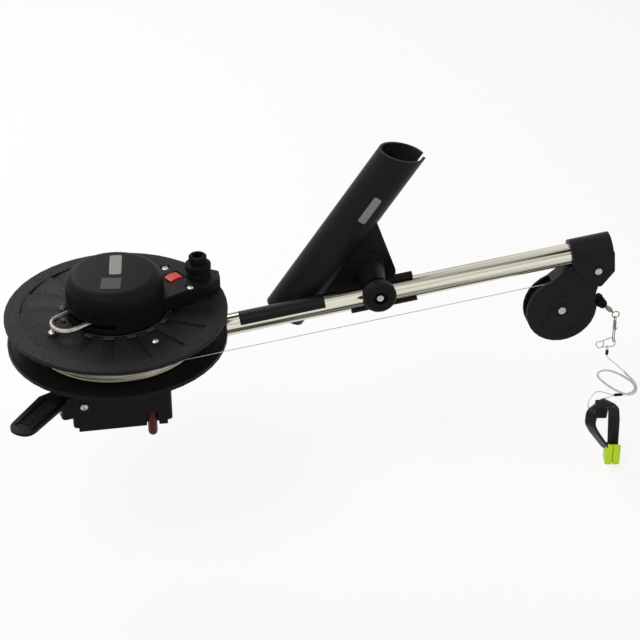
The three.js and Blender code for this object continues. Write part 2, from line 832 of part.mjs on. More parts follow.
// The least gap of a wound tube to itself, measured on the points of its path.
function leastSelfGap(path, diameter, stepsPerLoop) {
  let least = Infinity;
  for (let i = 0; i < path.length; i += 1) {
    for (let j = i + Math.floor(stepsPerLoop / 2); j < path.length; j += 1) {
      least = Math.min(least, path[i].distanceTo(path[j]));
    }
  }
  return least - diameter;
}

// The spool's own pieces.
function makeGear(teeth, thickness, bottom, bore, turn) {
  const pitch = gearModule * teeth / 2;
  const outline = [];
  for (let i = 0; i < teeth; i += 1) {
    for (const [share, reach] of toothShares) {
      const angle = turn + ((i + share) / teeth) * 2 * Math.PI;
      const r = pitch + reach * gearModule;
      outline.push([r * Math.cos(angle), r * Math.sin(angle)]);
    }
  }
  const gear = slab(outline, bottom, bottom + thickness);
  return bore > 0 ? gear.subtract(bar(bore, bottom - cutOverrun, bottom + thickness + cutOverrun)) : gear;
}

// The motor base: a drum over the gears, a tapering arm to one side and a window for the brake lever.
function makeMotorBase() {
  const plate = motorBaseTopZ - motorBaseWall;
  const tier = bar(motorBaseRadius, motorBaseZ, motorBaseTopZ, 0, 0, fine);
  const arm = slab(armOutline(0), armTopZ - armHeight, armTopZ - armEdge)
    .add(slab(armOutline(armEdge), armTopZ - armEdge * 2, armTopZ));
  const hollow = bar(motorBaseRadius - motorBaseWall, motorBaseZ - cutOverrun, plate, 0, 0, fine);
  const seat = bar(coverRadius + seatGap, motorBaseTopZ, armTopZ + cutOverrun, 0, 0, fine);
  const armInside = slab(armOutline(motorBaseWall), armTopZ - armHeight - cutOverrun,
    armTopZ - armHeight + motorBaseWall);
  const spindleHole = bar(spindleRadius + seatGap, motorBaseZ, motorBaseTopZ + cutOverrun);
  const pinionHole = bar(pinionShaftRadius + seatGap * 2, motorBaseZ, motorBaseTopZ + cutOverrun, 0,
    motorY, small);
  let base = tier.add(arm).subtract(hollow).subtract(seat).subtract(armInside).subtract(brakeWindow());
  base = base.subtract(spindleHole).subtract(pinionHole).subtract(switchPocket());
  for (const [x, y] of armScrewPlaces()) {
    base = base.subtract(bar(screwHeadRadius + counterbore, armTopZ - screwHeadHeight,
      armTopZ + cutOverrun, x, y, small));
    base = base.subtract(bar(screwShankRadius + seatGap, armTopZ - armHeight - cutOverrun, armTopZ, x, y,
      small));
  }
  return base;
}

function armOutline(inset) {
  const half = armTipHalfWidth - inset;
  const rootHalf = armTipHalfWidth + (armReach - armRootX) * Math.tan(armSpread) - inset;
  return [
    [armRootX, armCentreY - rootHalf],
    [armReach - inset, armCentreY - half],
    [armReach - inset, armCentreY + half],
    [armRootX, armCentreY + rootHalf],
  ];
}

const brakeRodZ = motorBaseTopZ - motorBaseWall - seatGap - brakeRingThickness / 2;

function brakeWindow() {
  const half = Math.asin(brakeRodSpread / 2 / motorBaseRadius) + brakeRodDiameter / motorBaseRadius;
  const inner = brakeRingOuter;
  const outer = motorBaseRadius + cutOverrun;
  const shape = new THREE.Shape();
  shape.absarc(0, 0, outer, brakeRodTurn - half, brakeRodTurn + half + brakeTravel, false);
  shape.absarc(0, 0, inner, brakeRodTurn + half + brakeTravel, brakeRodTurn - half, true);
  return slab(shape, brakeRodZ - brakeRodDiameter / 2 - seatGap * 3,
    brakeRodZ + brakeRodDiameter / 2 + seatGap * 3);
}

// The bent lever: two legs out of the brake ring and a round bow between them.
function brakeRodCurve() {
  const half = brakeRodSpread / 2;
  const root = (brakeRingInner + brakeRingOuter) / 2;
  const bend = brakeRodReach - half;
  const points = [[root, half], [motorBaseRadius, half], [bend - brakeRodDiameter, half]];
  for (let i = 0; i <= endSteps; i += 1) {
    const turn = Math.PI / 2 - (i / endSteps) * Math.PI;
    points.push([bend + half * brakeBowShare * Math.cos(turn), half * Math.sin(turn)]);
  }
  points.push([bend - brakeRodDiameter, -half], [motorBaseRadius, -half], [root, -half]);
  const path = points.map(([x, y]) => new THREE.Vector3(x, y, brakeRodZ)
    .applyAxisAngle(new THREE.Vector3(0, 0, 1), brakeRodTurn));
  return new THREE.CatmullRomCurve3(path, false, 'centripetal');
}

function makeBrakeRing() {
  let body = ring(brakeRingInner, brakeRingOuter, brakeRodZ - brakeRingThickness / 2,
    brakeRodZ + brakeRingThickness / 2);
  for (const side of [-1, 1]) {
    const hole = new THREE.CylinderGeometry(brakeRodDiameter / 2 + seatGap,
      brakeRodDiameter / 2 + seatGap, brakeRodReach, small);
    const from = (brakeRingInner + brakeRingOuter) / 2 - seatGap;
    hole.rotateZ(Math.PI / 2).translate(from + brakeRodReach / 2, side * brakeRodSpread / 2, brakeRodZ)
      .rotateZ(brakeRodTurn);
    body = body.subtract(solid(hole));
  }
  return body;
}

function switchPocket() {
  const geometry = new THREE.BoxGeometry(switchLength + switchClear * 2, switchWidth + switchClear * 2,
    switchHeight * 2);
  const pocket = geometry.rotateZ(switchTurn).translate(switchX, armCentreY, armTopZ);
  const rim = new THREE.BoxGeometry(switchLength + switchRecess * 4, switchWidth + switchRecess * 4,
    switchRecess * 2);
  return solid(pocket).add(solid(rim.rotateZ(switchTurn).translate(switchX, armCentreY, armTopZ)));
}

// The switch: a red key whose top is roofed like a shallow ridge.
function makeSwitch() {
  const length = switchLength / 2;
  const outline = [
    [-length, armTopZ - switchHeight + seatGap + switchRise],
    [length, armTopZ - switchHeight + seatGap + switchRise],
    [length, armTopZ + switchRise / 4],
    [0, armTopZ + switchRise],
    [-length, armTopZ + switchRise / 4],
  ];
  const shape = new THREE.Shape(outline.map(([x, z]) => new THREE.Vector2(x, z)));
  const geometry = new THREE.ExtrudeGeometry(shape, { depth: switchWidth, bevelEnabled: false });
  geometry.rotateX(Math.PI / 2).translate(0, switchWidth / 2, 0).rotateZ(switchTurn)
    .translate(switchX, armCentreY, 0);
  return solid(geometry);
}

function armScrewPlaces() {
  const reach = armScrewSpread / 2;
  return [-1, 1].map((side) => [
    armScrewX + side * reach * Math.cos(armScrewTurn),
    armCentreY + side * reach * Math.sin(armScrewTurn),
  ]);
}

// The arm's nose: a separate moulding that carries the power socket.
function makeArmNose() {
  const from = armReach + seatGap;
  const top = armTopZ - armNoseDrop;
  const outline = roundedOutline([
    [from, armCentreY - armTipHalfWidth + armEdge],
    [from + armNoseReach, armCentreY - armNoseHalfWidth, armNoseHalfWidth / 2],
    [from + armNoseReach, armCentreY + armNoseHalfWidth, armNoseHalfWidth / 2],
    [from, armCentreY + armTipHalfWidth - armEdge],
  ]);
  return slab(outline, armTopZ - armHeight, top)
    .subtract(bar(socketFootRadius + seatGap, top - armNoseDrop, top + cutOverrun, socketX, armCentreY));
}

// The power socket: a stepped rubber boot with a six-sided mouth, seated half on the arm.
function makeSocket() {
  const z0 = armTopZ + seatGap;
  const z1 = z0 + socketFootHeight;
  const z2 = z1 + socketWaistHeight;
  const z3 = z2 + socketCollarHeight;
  const z4 = z3 + socketNeckHeight;
  const z5 = z4 + socketMouthHeight;
  const body = turnedSolid([
    [socketFootRadius, z0],
    [socketFootRadius, z1 - socketEdge],
    [socketWaistRadius, z1],
    [socketWaistRadius, z2],
    [socketCollarRadius, z2 + socketEdge],
    [socketCollarRadius, z3 - socketEdge],
    [socketNeckRadius, z3],
    [socketNeckRadius, z4],
    [socketMouthRadius, z4 + socketEdge],
    [socketMouthRadius, z5 - socketEdge],
    [socketMouthRadius - socketEdge, z5],
  ]);
  const hexRadius = socketHexFlat / Math.cos(Math.PI / hexSides);
  const hex = new THREE.CylinderGeometry(hexRadius, hexRadius, socketHexDepth * 2, hexSides);
  return body.subtract(solid(hex.rotateX(Math.PI / 2).translate(0, 0, z5)))
    .translate([socketX, armCentreY, 0]);
}

// The motor cover: a thin round hood with a rounded shoulder.
function makeCover() {
  const top = coverZ + coverHeight;
  const outer = [];
  const inner = [];
  for (let i = 0; i <= cornerSteps; i += 1) {
    const turn = (i / cornerSteps) * Math.PI / 2;
    outer.push([coverRadius - coverFillet + coverFillet * Math.cos(turn),
      top - coverFillet + coverFillet * Math.sin(turn)]);
    const bend = coverFillet - coverWall;
    inner.unshift([coverRadius - coverFillet + bend * Math.cos(turn),
      top - coverFillet + bend * Math.sin(turn)]);
  }
  return turned([
    [coverRadius, coverZ],
    ...outer,
    [0, top],
    [0, top - coverWall],
    ...inner,
    [coverRadius - coverWall, coverZ],
  ], coverSides);
}

// The boom: a bare stainless tube.
function makeBoom() {
  const geometry = new THREE.CylinderGeometry(boomDiameter / 2, boomDiameter / 2, boomLength, tubeSides);
  const inside = new THREE.CylinderGeometry(boomDiameter / 2 - boomWall, boomDiameter / 2 - boomWall,
    boomLength + cutOverrun, round);
  const tubeSolid = solid(geometry).subtract(solid(inside));
  return geometryOf(tubeSolid).rotateZ(-Math.PI / 2).translate(boomRootS + boomLength / 2, 0, 0);
}

const boomEndS = boomRootS + boomLength;
const boomRadius = boomDiameter / 2;
const upwards = Math.PI / 2;

// The clamp's two saddles on the boom, with the cross bolt above the tube.
const clampMiddleS = (pivotX + pivotRise * Math.sin(boomSlope)) / Math.cos(boomSlope);
const pivotZ = boomAxisZ + pivotX * Math.tan(boomSlope) + pivotRise;
const saddleInner = boomRadius + seatGap;
const saddleOuter = saddleInner + clampWall;
const upperSaddleHalfY = saddleOuter * Math.sin(clampUpperBackAngle);
const nearEarBackY = boomY - upperSaddleHalfY - seatGap;
const bossFrontY = nearEarBackY - earThickness;
const farEarFrontY = boomY + upperSaddleHalfY + seatGap;
const bossBackY = farEarFrontY + earThickness;
const webFrontY = bossBackY + seatGap + webHubHeight;
const webBackY = webFrontY + webThickness;

// A saddle: part of a tube wall about the boom, from one distance along it to another. Its angles run
// from the back over the top to the front.
function saddle(from, to, backAngle, frontAngle) {
  const shape = new THREE.Shape();
  shape.absarc(0, 0, saddleOuter, backAngle, frontAngle, false);
  shape.absarc(0, 0, saddleInner, frontAngle, backAngle, true);
  const geometry = new THREE.ExtrudeGeometry(shape,
    { depth: to - from, bevelEnabled: false, curveSegments: arcSteps });
  geometry.rotateX(Math.PI / 2).rotateZ(Math.PI / 2).translate(clampMiddleS + from, 0, 0);
  return solid(alongBoom(geometry));
}

function boltSpace() {
  return crossBar(boltDiameter / 2 + seatGap, bossFrontY - cutOverrun, webBackY + cutOverrun, pivotX,
    pivotZ, small);
}

// The upper clamp: a saddle on the boom's top and back, with a cone for the cross bolt and a round bar.
function makeClampUpper() {
  const boss = crossBar(
    bossRadius, nearEarBackY + seatGap, farEarFrontY - seatGap, pivotX, pivotZ, round, bossBackRadius);
  const ridge = new THREE.CylinderGeometry(ridgeRadius, ridgeRadius, ridgeLength, small);
  ridge.rotateZ(Math.PI / 2).translate(clampMiddleS + clampUpperTipLength - ridgeLength / 2, 0,
    saddleOuter);
  const body = saddle(-clampUpperRootLength, clampUpperTipLength,
    upwards - clampUpperBackAngle, upwards + clampUpperFrontAngle);
  return body.add(boss).add(solid(alongBoom(ridge)))
    .subtract(boomBar(saddleInner, boomRootS, boomEndS)).subtract(boltSpace());
}

// The lower clamp: a long shallow saddle, and a deep cradle whose ear on each side rises to the bolt.
function makeClampLower() {
  const cradle = saddle(-nearEarHalfWidth, nearEarHalfWidth,
    -upwards - clampCradleHalfAngle, -upwards + clampCradleHalfAngle);
  let body = saddle(-clampLowerRootLength, clampLowerTipLength,
    -upwards - clampLowerHalfAngle, -upwards + clampLowerHalfAngle);
  body = body.add(cradle);
  const lowZ = pivotZ - pivotRise - boomRadius / 2;
  for (const [front, half] of [[bossFrontY, nearEarHalfWidth], [farEarFrontY, farEarHalfWidth]]) {
    const plate = panel(roundedOutline([
      [pivotX - half, lowZ],
      [pivotX + half, lowZ],
      [pivotX + half, pivotZ + half, half],
      [pivotX - half, pivotZ + half, half],
    ]), front, front + earThickness);
    body = body.add(plate);
  }
  return body.subtract(boomBar(saddleInner, boomRootS, boomEndS)).subtract(boltSpace());
}

// The rod holder: a slotted tube with a slanted mouth and a web that reaches forward to the bolt.
function makeRodHolder() {
  const radius = holderDiameter / 2;
  const inside = radius - holderWall;
  const body = new THREE.CylinderGeometry(radius, radius, holderLength, tubeSides);
  body.rotateX(Math.PI / 2).translate(0, 0, holderLength / 2);
  const lean = Math.PI / 2 - holderLean;
  const place = (geometry) => geometry.translate(0, 0, -holderBelowPivot).rotateY(lean)
    .translate(pivotX - holderPivotOffset, holderY, pivotZ);
  const bore = new THREE.CylinderGeometry(inside, inside, holderLength, tubeSides);
  bore.rotateX(Math.PI / 2).translate(0, 0, holderLength / 2 + holderFloor);
  const drain = new THREE.CylinderGeometry(holderDrain, holderDrain, holderFloor * 4, small);
  drain.rotateX(Math.PI / 2);
  const slot = new THREE.BoxGeometry(radius * 2, holderSlotWidth, holderSlotLength * 2);
  slot.translate(radius, 0, holderLength);
  const mouth = new THREE.BoxGeometry(holderDiameter * 2, holderDiameter * 2, holderDiameter * 2);
  mouth.translate(-holderDiameter, 0, holderDiameter).rotateY(-holderMouthLean)
    .translate(radius, 0, holderLength);
  const web = panel(roundedOutline([
    [pivotX + webReachX, pivotZ - webShoulderZ, webCorner],
    [pivotX + webTopX, pivotZ + webTopZ],
    [pivotX - holderPivotOffset + webRootX, pivotZ + webTopZ],
    [pivotX - holderPivotOffset, pivotZ],
    [pivotX - holderPivotOffset, pivotZ - webTailDrop],
    [pivotX - webTailX, pivotZ - webTailZ],
    [pivotX + webReachX, pivotZ - webLowZ, webCorner],
  ]), webFrontY, webBackY);
  const hub = crossBar(webHubRadius * webHubWaistShare, webFrontY - webHubHeight,
    webFrontY + cutOverrun / 4, pivotX, pivotZ, round, webHubRadius);
  return solid(place(body)).add(web).add(hub).subtract(boltSpace())
    .subtract(solid(place(bore))).subtract(solid(place(drain))).subtract(solid(place(slot)))
      .subtract(solid(place(mouth)));
}

// The cross bolt, with a round head behind the web.
function makeClampBolt() {
  const front = bossFrontY - knobNeckLength - knobThickness + seatGap;
  const back = webBackY + seatGap;
  const shank = crossBar(boltDiameter / 2, front, back + cutOverrun / 2, pivotX, pivotZ, small);
  return shank.add(crossBar(boltDiameter, back, back + boltDiameter / 2, pivotX, pivotZ, hexSides));
}

// The hand knob, a lobed disc on a neck, dished in front where the bolt's end shows.
function makeKnob() {
  const back = bossFrontY - seatGap;
  const faceZ = knobNeckLength + knobThickness;
  const disc = turnedSolid([
    [knobNeckRadius * knobNeckTaperShare, 0],
    [knobNeckRadius, knobNeckLength],
    [knobRadius - knobEdge, knobNeckLength],
    [knobRadius, knobNeckLength + knobEdge],
    [knobRadius, faceZ - knobEdge],
    [knobRadius - knobEdge, faceZ],
  ], round);
  let body = disc.subtract(bar(boltDiameter / 2 + seatGap, -cutOverrun, faceZ + cutOverrun, 0, 0, small));
  body = body.subtract(bar(knobRecessRadius, faceZ - knobRecessDepth, faceZ + cutOverrun, 0, 0, small));
  for (let i = 0; i < knobLobes; i += 1) {
    const turn = (i / knobLobes) * 2 * Math.PI;
    const reach = knobRadius + knobLobeDepth;
    body = body.subtract(bar(knobLobeDepth * 2, knobNeckLength - cutOverrun, faceZ + cutOverrun,
      reach * Math.cos(turn), reach * Math.sin(turn), hexSides));
  }
  return geometryOf(body).rotateX(Math.PI / 2).translate(pivotX, back, pivotZ);
}

// The end cap in the boom's own frame: a hood over the tube's end with two cheeks that hang below it.
const capStartS = boomEndS + capEndWall + seatGap - capLength;
const capEndS = boomEndS + capEndWall + seatGap;
const capRadius = boomRadius + seatGap + capWall;

function makeCap() {
  const screwS = capEndS - capScrewFromEnd;
  const cheeks = panel(roundedOutline([
    [capStartS, 0],
    [capStartS, -capRootDrop, seatGap],
    [capEndS - capCheekSpread, -capCheekDrop + capHeelRise, capChamfer / 4],
    [capEndS - capChamfer, -capCheekDrop, capChamfer / 4],
    [capEndS, -capCheekDrop + capChamfer, capChamfer / 4],
    [capEndS + seatGap * 4, 0],
  ]), -capRadius, capRadius);
  const hoodGeometry = new THREE.CylinderGeometry(capRadius, capRadius, capLength, round);
  const hood = solid(hoodGeometry.rotateZ(Math.PI / 2).translate(capEndS - capLength / 2, 0, 0));
  const boreGeometry = new THREE.CylinderGeometry(boomRadius + seatGap, boomRadius + seatGap, capLength,
    round);
  const bore = solid(boreGeometry.rotateZ(Math.PI / 2)
    .translate(capEndS - capEndWall - capLength / 2, 0, 0));
  const slot = box([capStartS - cutOverrun, -capSlotHalf, -capCheekDrop - cutOverrun],
    [capEndS - capEndWall, capSlotHalf, 0]);
  const screwHole = crossBar(screwShankRadius + seatGap, -capRadius - cutOverrun, capRadius + cutOverrun,
    screwS, -capScrewDrop, small);
  return hood.add(cheeks).subtract(slot).subtract(bore).subtract(screwHole);
}

// The cable's way from the drum to the pulley, from which the pulley's height follows.
const cableLeaveZ = (lowerFlangeTopZ + upperFlangeBottomZ) / 2;
const wheelRun = grooveRadius + cableSeat + cableDiameter / 2;
const pulleyZ = cableLeaveZ - cableDrop - wheelRun;

// The pulley housing: two halves that meet on the boom's plane, open in a slot where the cable enters.
function makeHousing(side) {
  const outline = [];
  for (let i = 0; i <= housingSteps; i += 1) {
    const turn = housingFrom + (i / housingSteps) * housingSweep;
    outline.push([pulleyX + housingRadius * Math.cos(turn), pulleyZ + housingRadius * Math.sin(turn)]);
  }
  outline.push(...neckOutline());
  const full = panel(outline, boomY - housingHalfWidth, boomY + housingHalfWidth);
  const inner = housingHalfWidth - housingCheek;
  const cavity = crossBar(wheelFlangeRadius + housingRelief, boomY - inner, boomY + inner, pulleyX,
    pulleyZ, round);
  const slot = panel(slotOutline(), boomY - inner, boomY + inner);
  const axleHole = crossBar(axleRadius + seatGap, boomY - cutOverrun * 4, boomY + cutOverrun * 4, pulleyX,
    pulleyZ, small);
  const screwHole = solid(alongBoom(geometryOf(crossBar(screwShankRadius + seatGap, -capRadius, capRadius,
    capEndS - capScrewFromEnd, -capScrewDrop, small))));
  const boomSpace = boomBar(boomRadius + seatGap * 2, boomRootS, capEndS);
  const capSpace = solid(alongBoom(new THREE.BoxGeometry(capEndWall * 2 + seatGap * 4, capRadius * 2,
    capCheekDrop * 3)
    .translate(capEndS + seatGap, 0, 0)));
  const half = box(
    [pulleyX - housingRadius * 2, side < 0 ? boomY - housingHalfWidth * 2 : boomY + seatGap / 2, 0],
    [pulleyX + housingRadius * 2, side < 0 ? boomY - seatGap / 2 : boomY + housingHalfWidth * 2,
      pulleyZ + housingRadius * 3],
  );
  return full.subtract(cavity).subtract(slot).subtract(exitSpace()).subtract(axleHole).subtract(screwHole)
    .subtract(boomSpace).subtract(capSpace).intersect(half);
}

function neckOutline() {
  const screw = new THREE.Vector3(capEndS - capScrewFromEnd, 0, -capScrewDrop)
    .applyAxisAngle(new THREE.Vector3(0, 1, 0), -boomSlope);
  const [sx, sz] = [screw.x, screw.z + boomAxisZ];
  return neckShares.map(([across, up]) => [sx + neckMargin * across, sz + neckMargin * up]);
}

// The gap between the two cheeks is open all round but for the neck.
function slotOutline() {
  const outline = [[pulleyX, pulleyZ]];
  for (let i = 0; i <= arcSteps; i += 1) {
    const turn = slotFrom + (slotTo - slotFrom) * (i / arcSteps);
    outline.push([pulleyX + housingSlotReach * Math.cos(turn),
      pulleyZ + housingSlotReach * Math.sin(turn)]);
  }
  return outline;
}

// The way out of the housing: a bore for the cable that widens to a pocket round the stop.
function exitSpace() {
  const pocket = stopRadius + housingRelief;
  const reach = stopFromTangent + stopLength;
  const geometry = geometryOf(turnedSolid([
    [exitBore, 0],
    [exitBore, exitBoreLength],
    [pocket, exitConeLength],
    [pocket, reach],
  ]));
  return solid(onTail(geometry, 0));
}

// The wheel, turned about +Y: two flanges and a round groove between them.
function makeWheel() {
  const body = turned([
    [wheelBore, -wheelHalfWidth],
    [wheelHubRadius, -wheelHalfWidth],
    [wheelHubRadius + housingCheek, -wheelHalfWidth / 2],
    [grooveRadius - housingCheek * 2, -wheelHalfWidth / 2],
    [grooveRadius, -wheelHalfWidth],
    [wheelFlangeRadius, -wheelHalfWidth * wheelRimShare],
    [grooveRadius, -grooveHalfWidth / 2],
    [grooveRadius, grooveHalfWidth / 2],
    [wheelFlangeRadius, wheelHalfWidth * wheelRimShare],
    [grooveRadius, wheelHalfWidth],
    [grooveRadius - housingCheek * 2, wheelHalfWidth / 2],
    [wheelHubRadius + housingCheek, wheelHalfWidth / 2],
    [wheelHubRadius, wheelHalfWidth],
    [wheelBore, wheelHalfWidth],
  ]);
  return geometryOf(body).rotateX(Math.PI / 2).translate(pulleyX, boomY, pulleyZ);
}

function makeAxle() {
  const face = housingHalfWidth + seatGap;
  const shank = crossBar(axleRadius, boomY - face, boomY + face, pulleyX, pulleyZ, small);
  const near = crossBar(axleHeadRadius + seatGap, boomY - face - axleHeadHeight, boomY - face, pulleyX,
    pulleyZ, small);
  const far = crossBar(axleHeadRadius + seatGap, boomY + face, boomY + face + axleHeadHeight, pulleyX,
    pulleyZ, small);
  return shank.add(near).add(far);
}

// The cap's bolt, in the boom's frame: it runs through both cheeks and the housing between them.
function makeCapBolt() {
  const s = capEndS - capScrewFromEnd;
  const face = capRadius + seatGap;
  const shank = crossBar(screwShankRadius, -face, face, s, -capScrewDrop, small);
  const near = crossBar(screwHeadRadius, -face - screwHeadHeight, -face, s, -capScrewDrop, small);
  const far = crossBar(screwHeadRadius, face, face + screwHeadHeight, s, -capScrewDrop, hexSides);
  return shank.add(near).add(far);
}

// The cable leaves the drum on a tangent, runs to the top of the wheel, bends over it and comes out
// through the stop.
const leaveRadius = windRadius + cableDiameter + seatGap * 2;
const cableTurn = Math.atan2(boomY + leaveRadius, pulleyX);

function cablePoints() {
  const points = [];
  const drumAngle = cableTurn - Math.PI / 2;
  for (let i = 0; i <= cableLapSteps; i += 1) {
    const angle = drumAngle - cableLap * (1 - i / cableLapSteps);
    points.push(new THREE.Vector3(leaveRadius * Math.cos(angle), leaveRadius * Math.sin(angle),
      cableLeaveZ));
  }
  const start = points.at(-1);
  const top = new THREE.Vector3(pulleyX, boomY, pulleyZ + wheelRun);
  for (let i = 1; i < cableRunSteps; i += 1) points.push(start.clone().lerp(top, i / cableRunSteps));
  const bendEnd = Math.PI / 2 + stopAngle;
  for (let i = 0; i <= cableBendSteps; i += 1) {
    const angle = Math.PI / 2 + (bendEnd - Math.PI / 2) * (i / cableBendSteps);
    points.push(new THREE.Vector3(pulleyX + wheelRun * Math.cos(angle), boomY,
      pulleyZ + wheelRun * Math.sin(angle)));
  }
  const exit = points.at(-1);
  const along = new THREE.Vector3(Math.cos(stopAngle), 0, Math.sin(stopAngle));
  const tail = stopFromTangent + stopLength + seatGap;
  for (let i = 1; i <= cableTailSteps; i += 1) {
    points.push(exit.clone().addScaledVector(along, tail * i / cableTailSteps));
  }
  return points;
}

const exitTurn = Math.PI / 2 + stopAngle;
const tailStart = new THREE.Vector3(
  pulleyX + wheelRun * Math.cos(exitTurn), boomY, pulleyZ + wheelRun * Math.sin(exitTurn));
const tailAlong = new THREE.Vector3(Math.cos(stopAngle), 0, Math.sin(stopAngle));

// A geometry made along +Z, laid on the cable's tail at a distance from where it leaves the wheel.
function onTail(geometry, distance) {
  const at = tailStart.clone().addScaledVector(tailAlong, distance);
  return geometry.rotateY(Math.PI / 2 - stopAngle).translate(at.x, at.y, at.z);
}

// The cable stop: a ribbed rubber cone, bored for the cable.
function makeStop() {
  const outline = [[cableDiameter / 2 + seatGap, 0], [stopTipRadius, 0]];
  for (let i = 0; i < stopRibs; i += 1) {
    const z = (i + stopRibStartShare) * stopLength / (stopRibs + stopRibStartShare);
    const r = THREE.MathUtils.lerp(stopRadius, stopTipRadius, (i + stopRibStartShare) / stopRibs);
    const [before, after, next] = stopRibShares.map((share) => z + stopLength * share);
    const groove = r * stopGrooveShare;
    outline.push([r, before], [groove, z], [groove, after], [r, next]);
  }
  outline.push([stopTipRadius * stopTailShare, stopLength], [cableDiameter / 2 + seatGap, stopLength]);
  return onTail(geometryOf(turned(outline, small)), stopFromTangent);
}

// The swivel: a small brass barrel with a pin at its lower end.
const swivelEnd = stopFromTangent + stopLength + seatGap * 2 + swivelLength;

function makeSwivel() {
  const outline = swivelShares.map(([wide, along]) => [swivelRadius * wide, swivelLength * along]);
  return onTail(geometryOf(turnedSolid(outline, small)), swivelEnd - swivelLength);
}

const ringCentre = tailStart.clone()
  .addScaledVector(tailAlong, swivelEnd + seatGap + ringRadius + ringWire / 2);
const snapTopZ = ringCentre.z - ringRadius + ringWire / 2 + snapWire + seatGap;
const snapX = ringCentre.x;
const snapBottomZ = snapTopZ - snapLength;
const clipTopZ = snapBottomZ + snapWire + clipWire + seatGap;
const clipMiddleX = snapX + clipRightMargin - clipLength / 2;
const clipBottomWireZ = clipTopZ - clipHeight + clipWire / 2;
const eyeX = clipMiddleX + clipWire;
const eyeZ = clipBottomWireZ + clipWire / 2 + eyeWire / 2 + eyeSlack - eyeRadius;
const crimpTopZ = eyeZ - eyeRadius - eyeWire / 2 - seatGap;

// The leader's route as steps along X, Y and Z from the foot of the upper crimp: bare wire first, then
// a sleeve that sweeps through one full loop and a second lap on its right side to the lower crimp.
const leaderTop = [eyeX, boomY, crimpTopZ - crimpLength - seatGap];
const wireRoute = [
  [0, 0, 0], [0, 0, -1.2], [4.6, -0.4, -7.6], [11.2, -0.8, -13.8], [18.2, -1.2, -21], [23.8, -1.6, -27],
];
const sleeveRoute = [
  [24.2, -1.62, -27.4], [30.3, -2, -34.8], [37.5, -2.5, -43.2], [41.8, -2.8, -52.6], [40.2, -2.8, -59.8],
  [34.1, -2.8, -62], [26.1, -2.6, -59.6], [12.6, -2, -51.9], [-1.2, -0.9, -40.3], [-8.6, 0.1, -31.4],
  [-8.4, 0.9, -26.7], [-1.9, 1.5, -24.6], [6.1, 1.8, -26.1], [19.5, 2, -33], [30.1, 2.3, -40.9],
  [38.1, 2.6, -48.7], [42.1, 2.8, -56.4], [39, 2.9, -62.8], [32.4, 2.9, -64.7], [26.4, 2.9, -64.7],
];

function route(points, from) {
  const places = points.map(([x, y, z]) => new THREE.Vector3(from[0] + x, from[1] + y, from[2] + z));
  return new THREE.CatmullRomCurve3(places, false, 'centripetal');
}

// The lower crimp lies along the boom's direction, its right end at the sleeve.
const sleeveEnd = sleeveRoute.at(-1);
const lowerCrimp = new THREE.Vector3(
  leaderTop[0] + sleeveEnd[0] - seatGap - lowerCrimpLength,
  leaderTop[1] + sleeveEnd[1],
  leaderTop[2] + sleeveEnd[2],
);

function makeLowerCrimp() {
  const geometry = new THREE.CylinderGeometry(crimpRadius, crimpRadius, lowerCrimpLength, crimpSides);
  return solid(geometry.rotateZ(Math.PI / 2)
    .translate(lowerCrimp.x + lowerCrimpLength / 2, lowerCrimp.y, lowerCrimp.z));
}

// The line release leans below the leader: a sprung strap loop, its block and two pads.
const releaseGroup = new THREE.Group();
releaseGroup.position.set(lowerCrimp.x - releaseAside, boomY, lowerCrimp.z - blockDrop - blockStandout);
releaseGroup.rotation.set(0, releaseLean, releaseTurn);
releaseGroup.updateMatrix();
downrigger.add(releaseGroup);
const blockHoleZ = blockStandout - blockHoleDrop;

function strapOutline(inset) {
  const half = releaseSpread / 2 - inset;
  const [tipShare, endShare] = strapTipShares;
  const tip = releaseTip / 2 - inset * tipShare;
  const right = strapShares.map(([across, down, corner]) => [
    half * across, down === 0 ? -inset : -half * down, half * corner]);
  const left = right.map(([x, z, corner]) => [-x, z, corner]).reverse();
  const end = -releaseHeight + inset * endShare;
  return roundedOutline([...right, [tip, end], [-tip, end], ...left]);
}

function makeStrap() {
  const outer = panel(strapOutline(0), -releaseWidth / 2, releaseWidth / 2);
  const inner = panel(strapOutline(releaseThickness), -releaseWidth, releaseWidth);
  return outer.subtract(inner);
}

// The block slides over the strap's top, with a cross hole for the wire bridle above it.
function makeBlock() {
  const half = blockWidth / 2;
  const body = panel(roundedOutline([
    [-half, blockStandout, blockEdge],
    [half * blockTaperShare, blockStandout, blockEdge],
    [half, blockStandout - blockHeight, blockEdge],
    [-half * blockTaperShare, blockStandout - blockHeight, blockEdge],
  ], blockCornerSteps), -blockDepth / 2, blockDepth / 2);
  const strapSpace = box([-blockWidth, -releaseWidth / 2 - seatGap, -releaseThickness - seatGap],
    [blockWidth, releaseWidth / 2 + seatGap, seatGap]);
  const hole = new THREE.CylinderGeometry(blockHole / 2, blockHole / 2, blockWidth * 2, wireSides);
  hole.rotateZ(Math.PI / 2).translate(0, blockHoleY, blockHoleZ);
  return body.subtract(strapSpace).subtract(solid(hole));
}

function makePad(side) {
  const inner = seatGap / 2;
  const outer = inner + padThickness;
  const body = panel(roundedOutline([
    [inner, -releaseHeight - seatGap],
    [outer, -releaseHeight - seatGap],
    [outer, -releaseHeight - padHeight * padShoulderShare, padEdge],
    [outer * padTipWidthShare, -releaseHeight - padHeight * padTipShare, padEdge],
    [inner, -releaseHeight - padHeight * padTipShare],
  ], padCornerSteps), -padWidth / 2, padWidth / 2);
  return side < 0 ? geometryOf(body).rotateZ(Math.PI) : geometryOf(body);
}

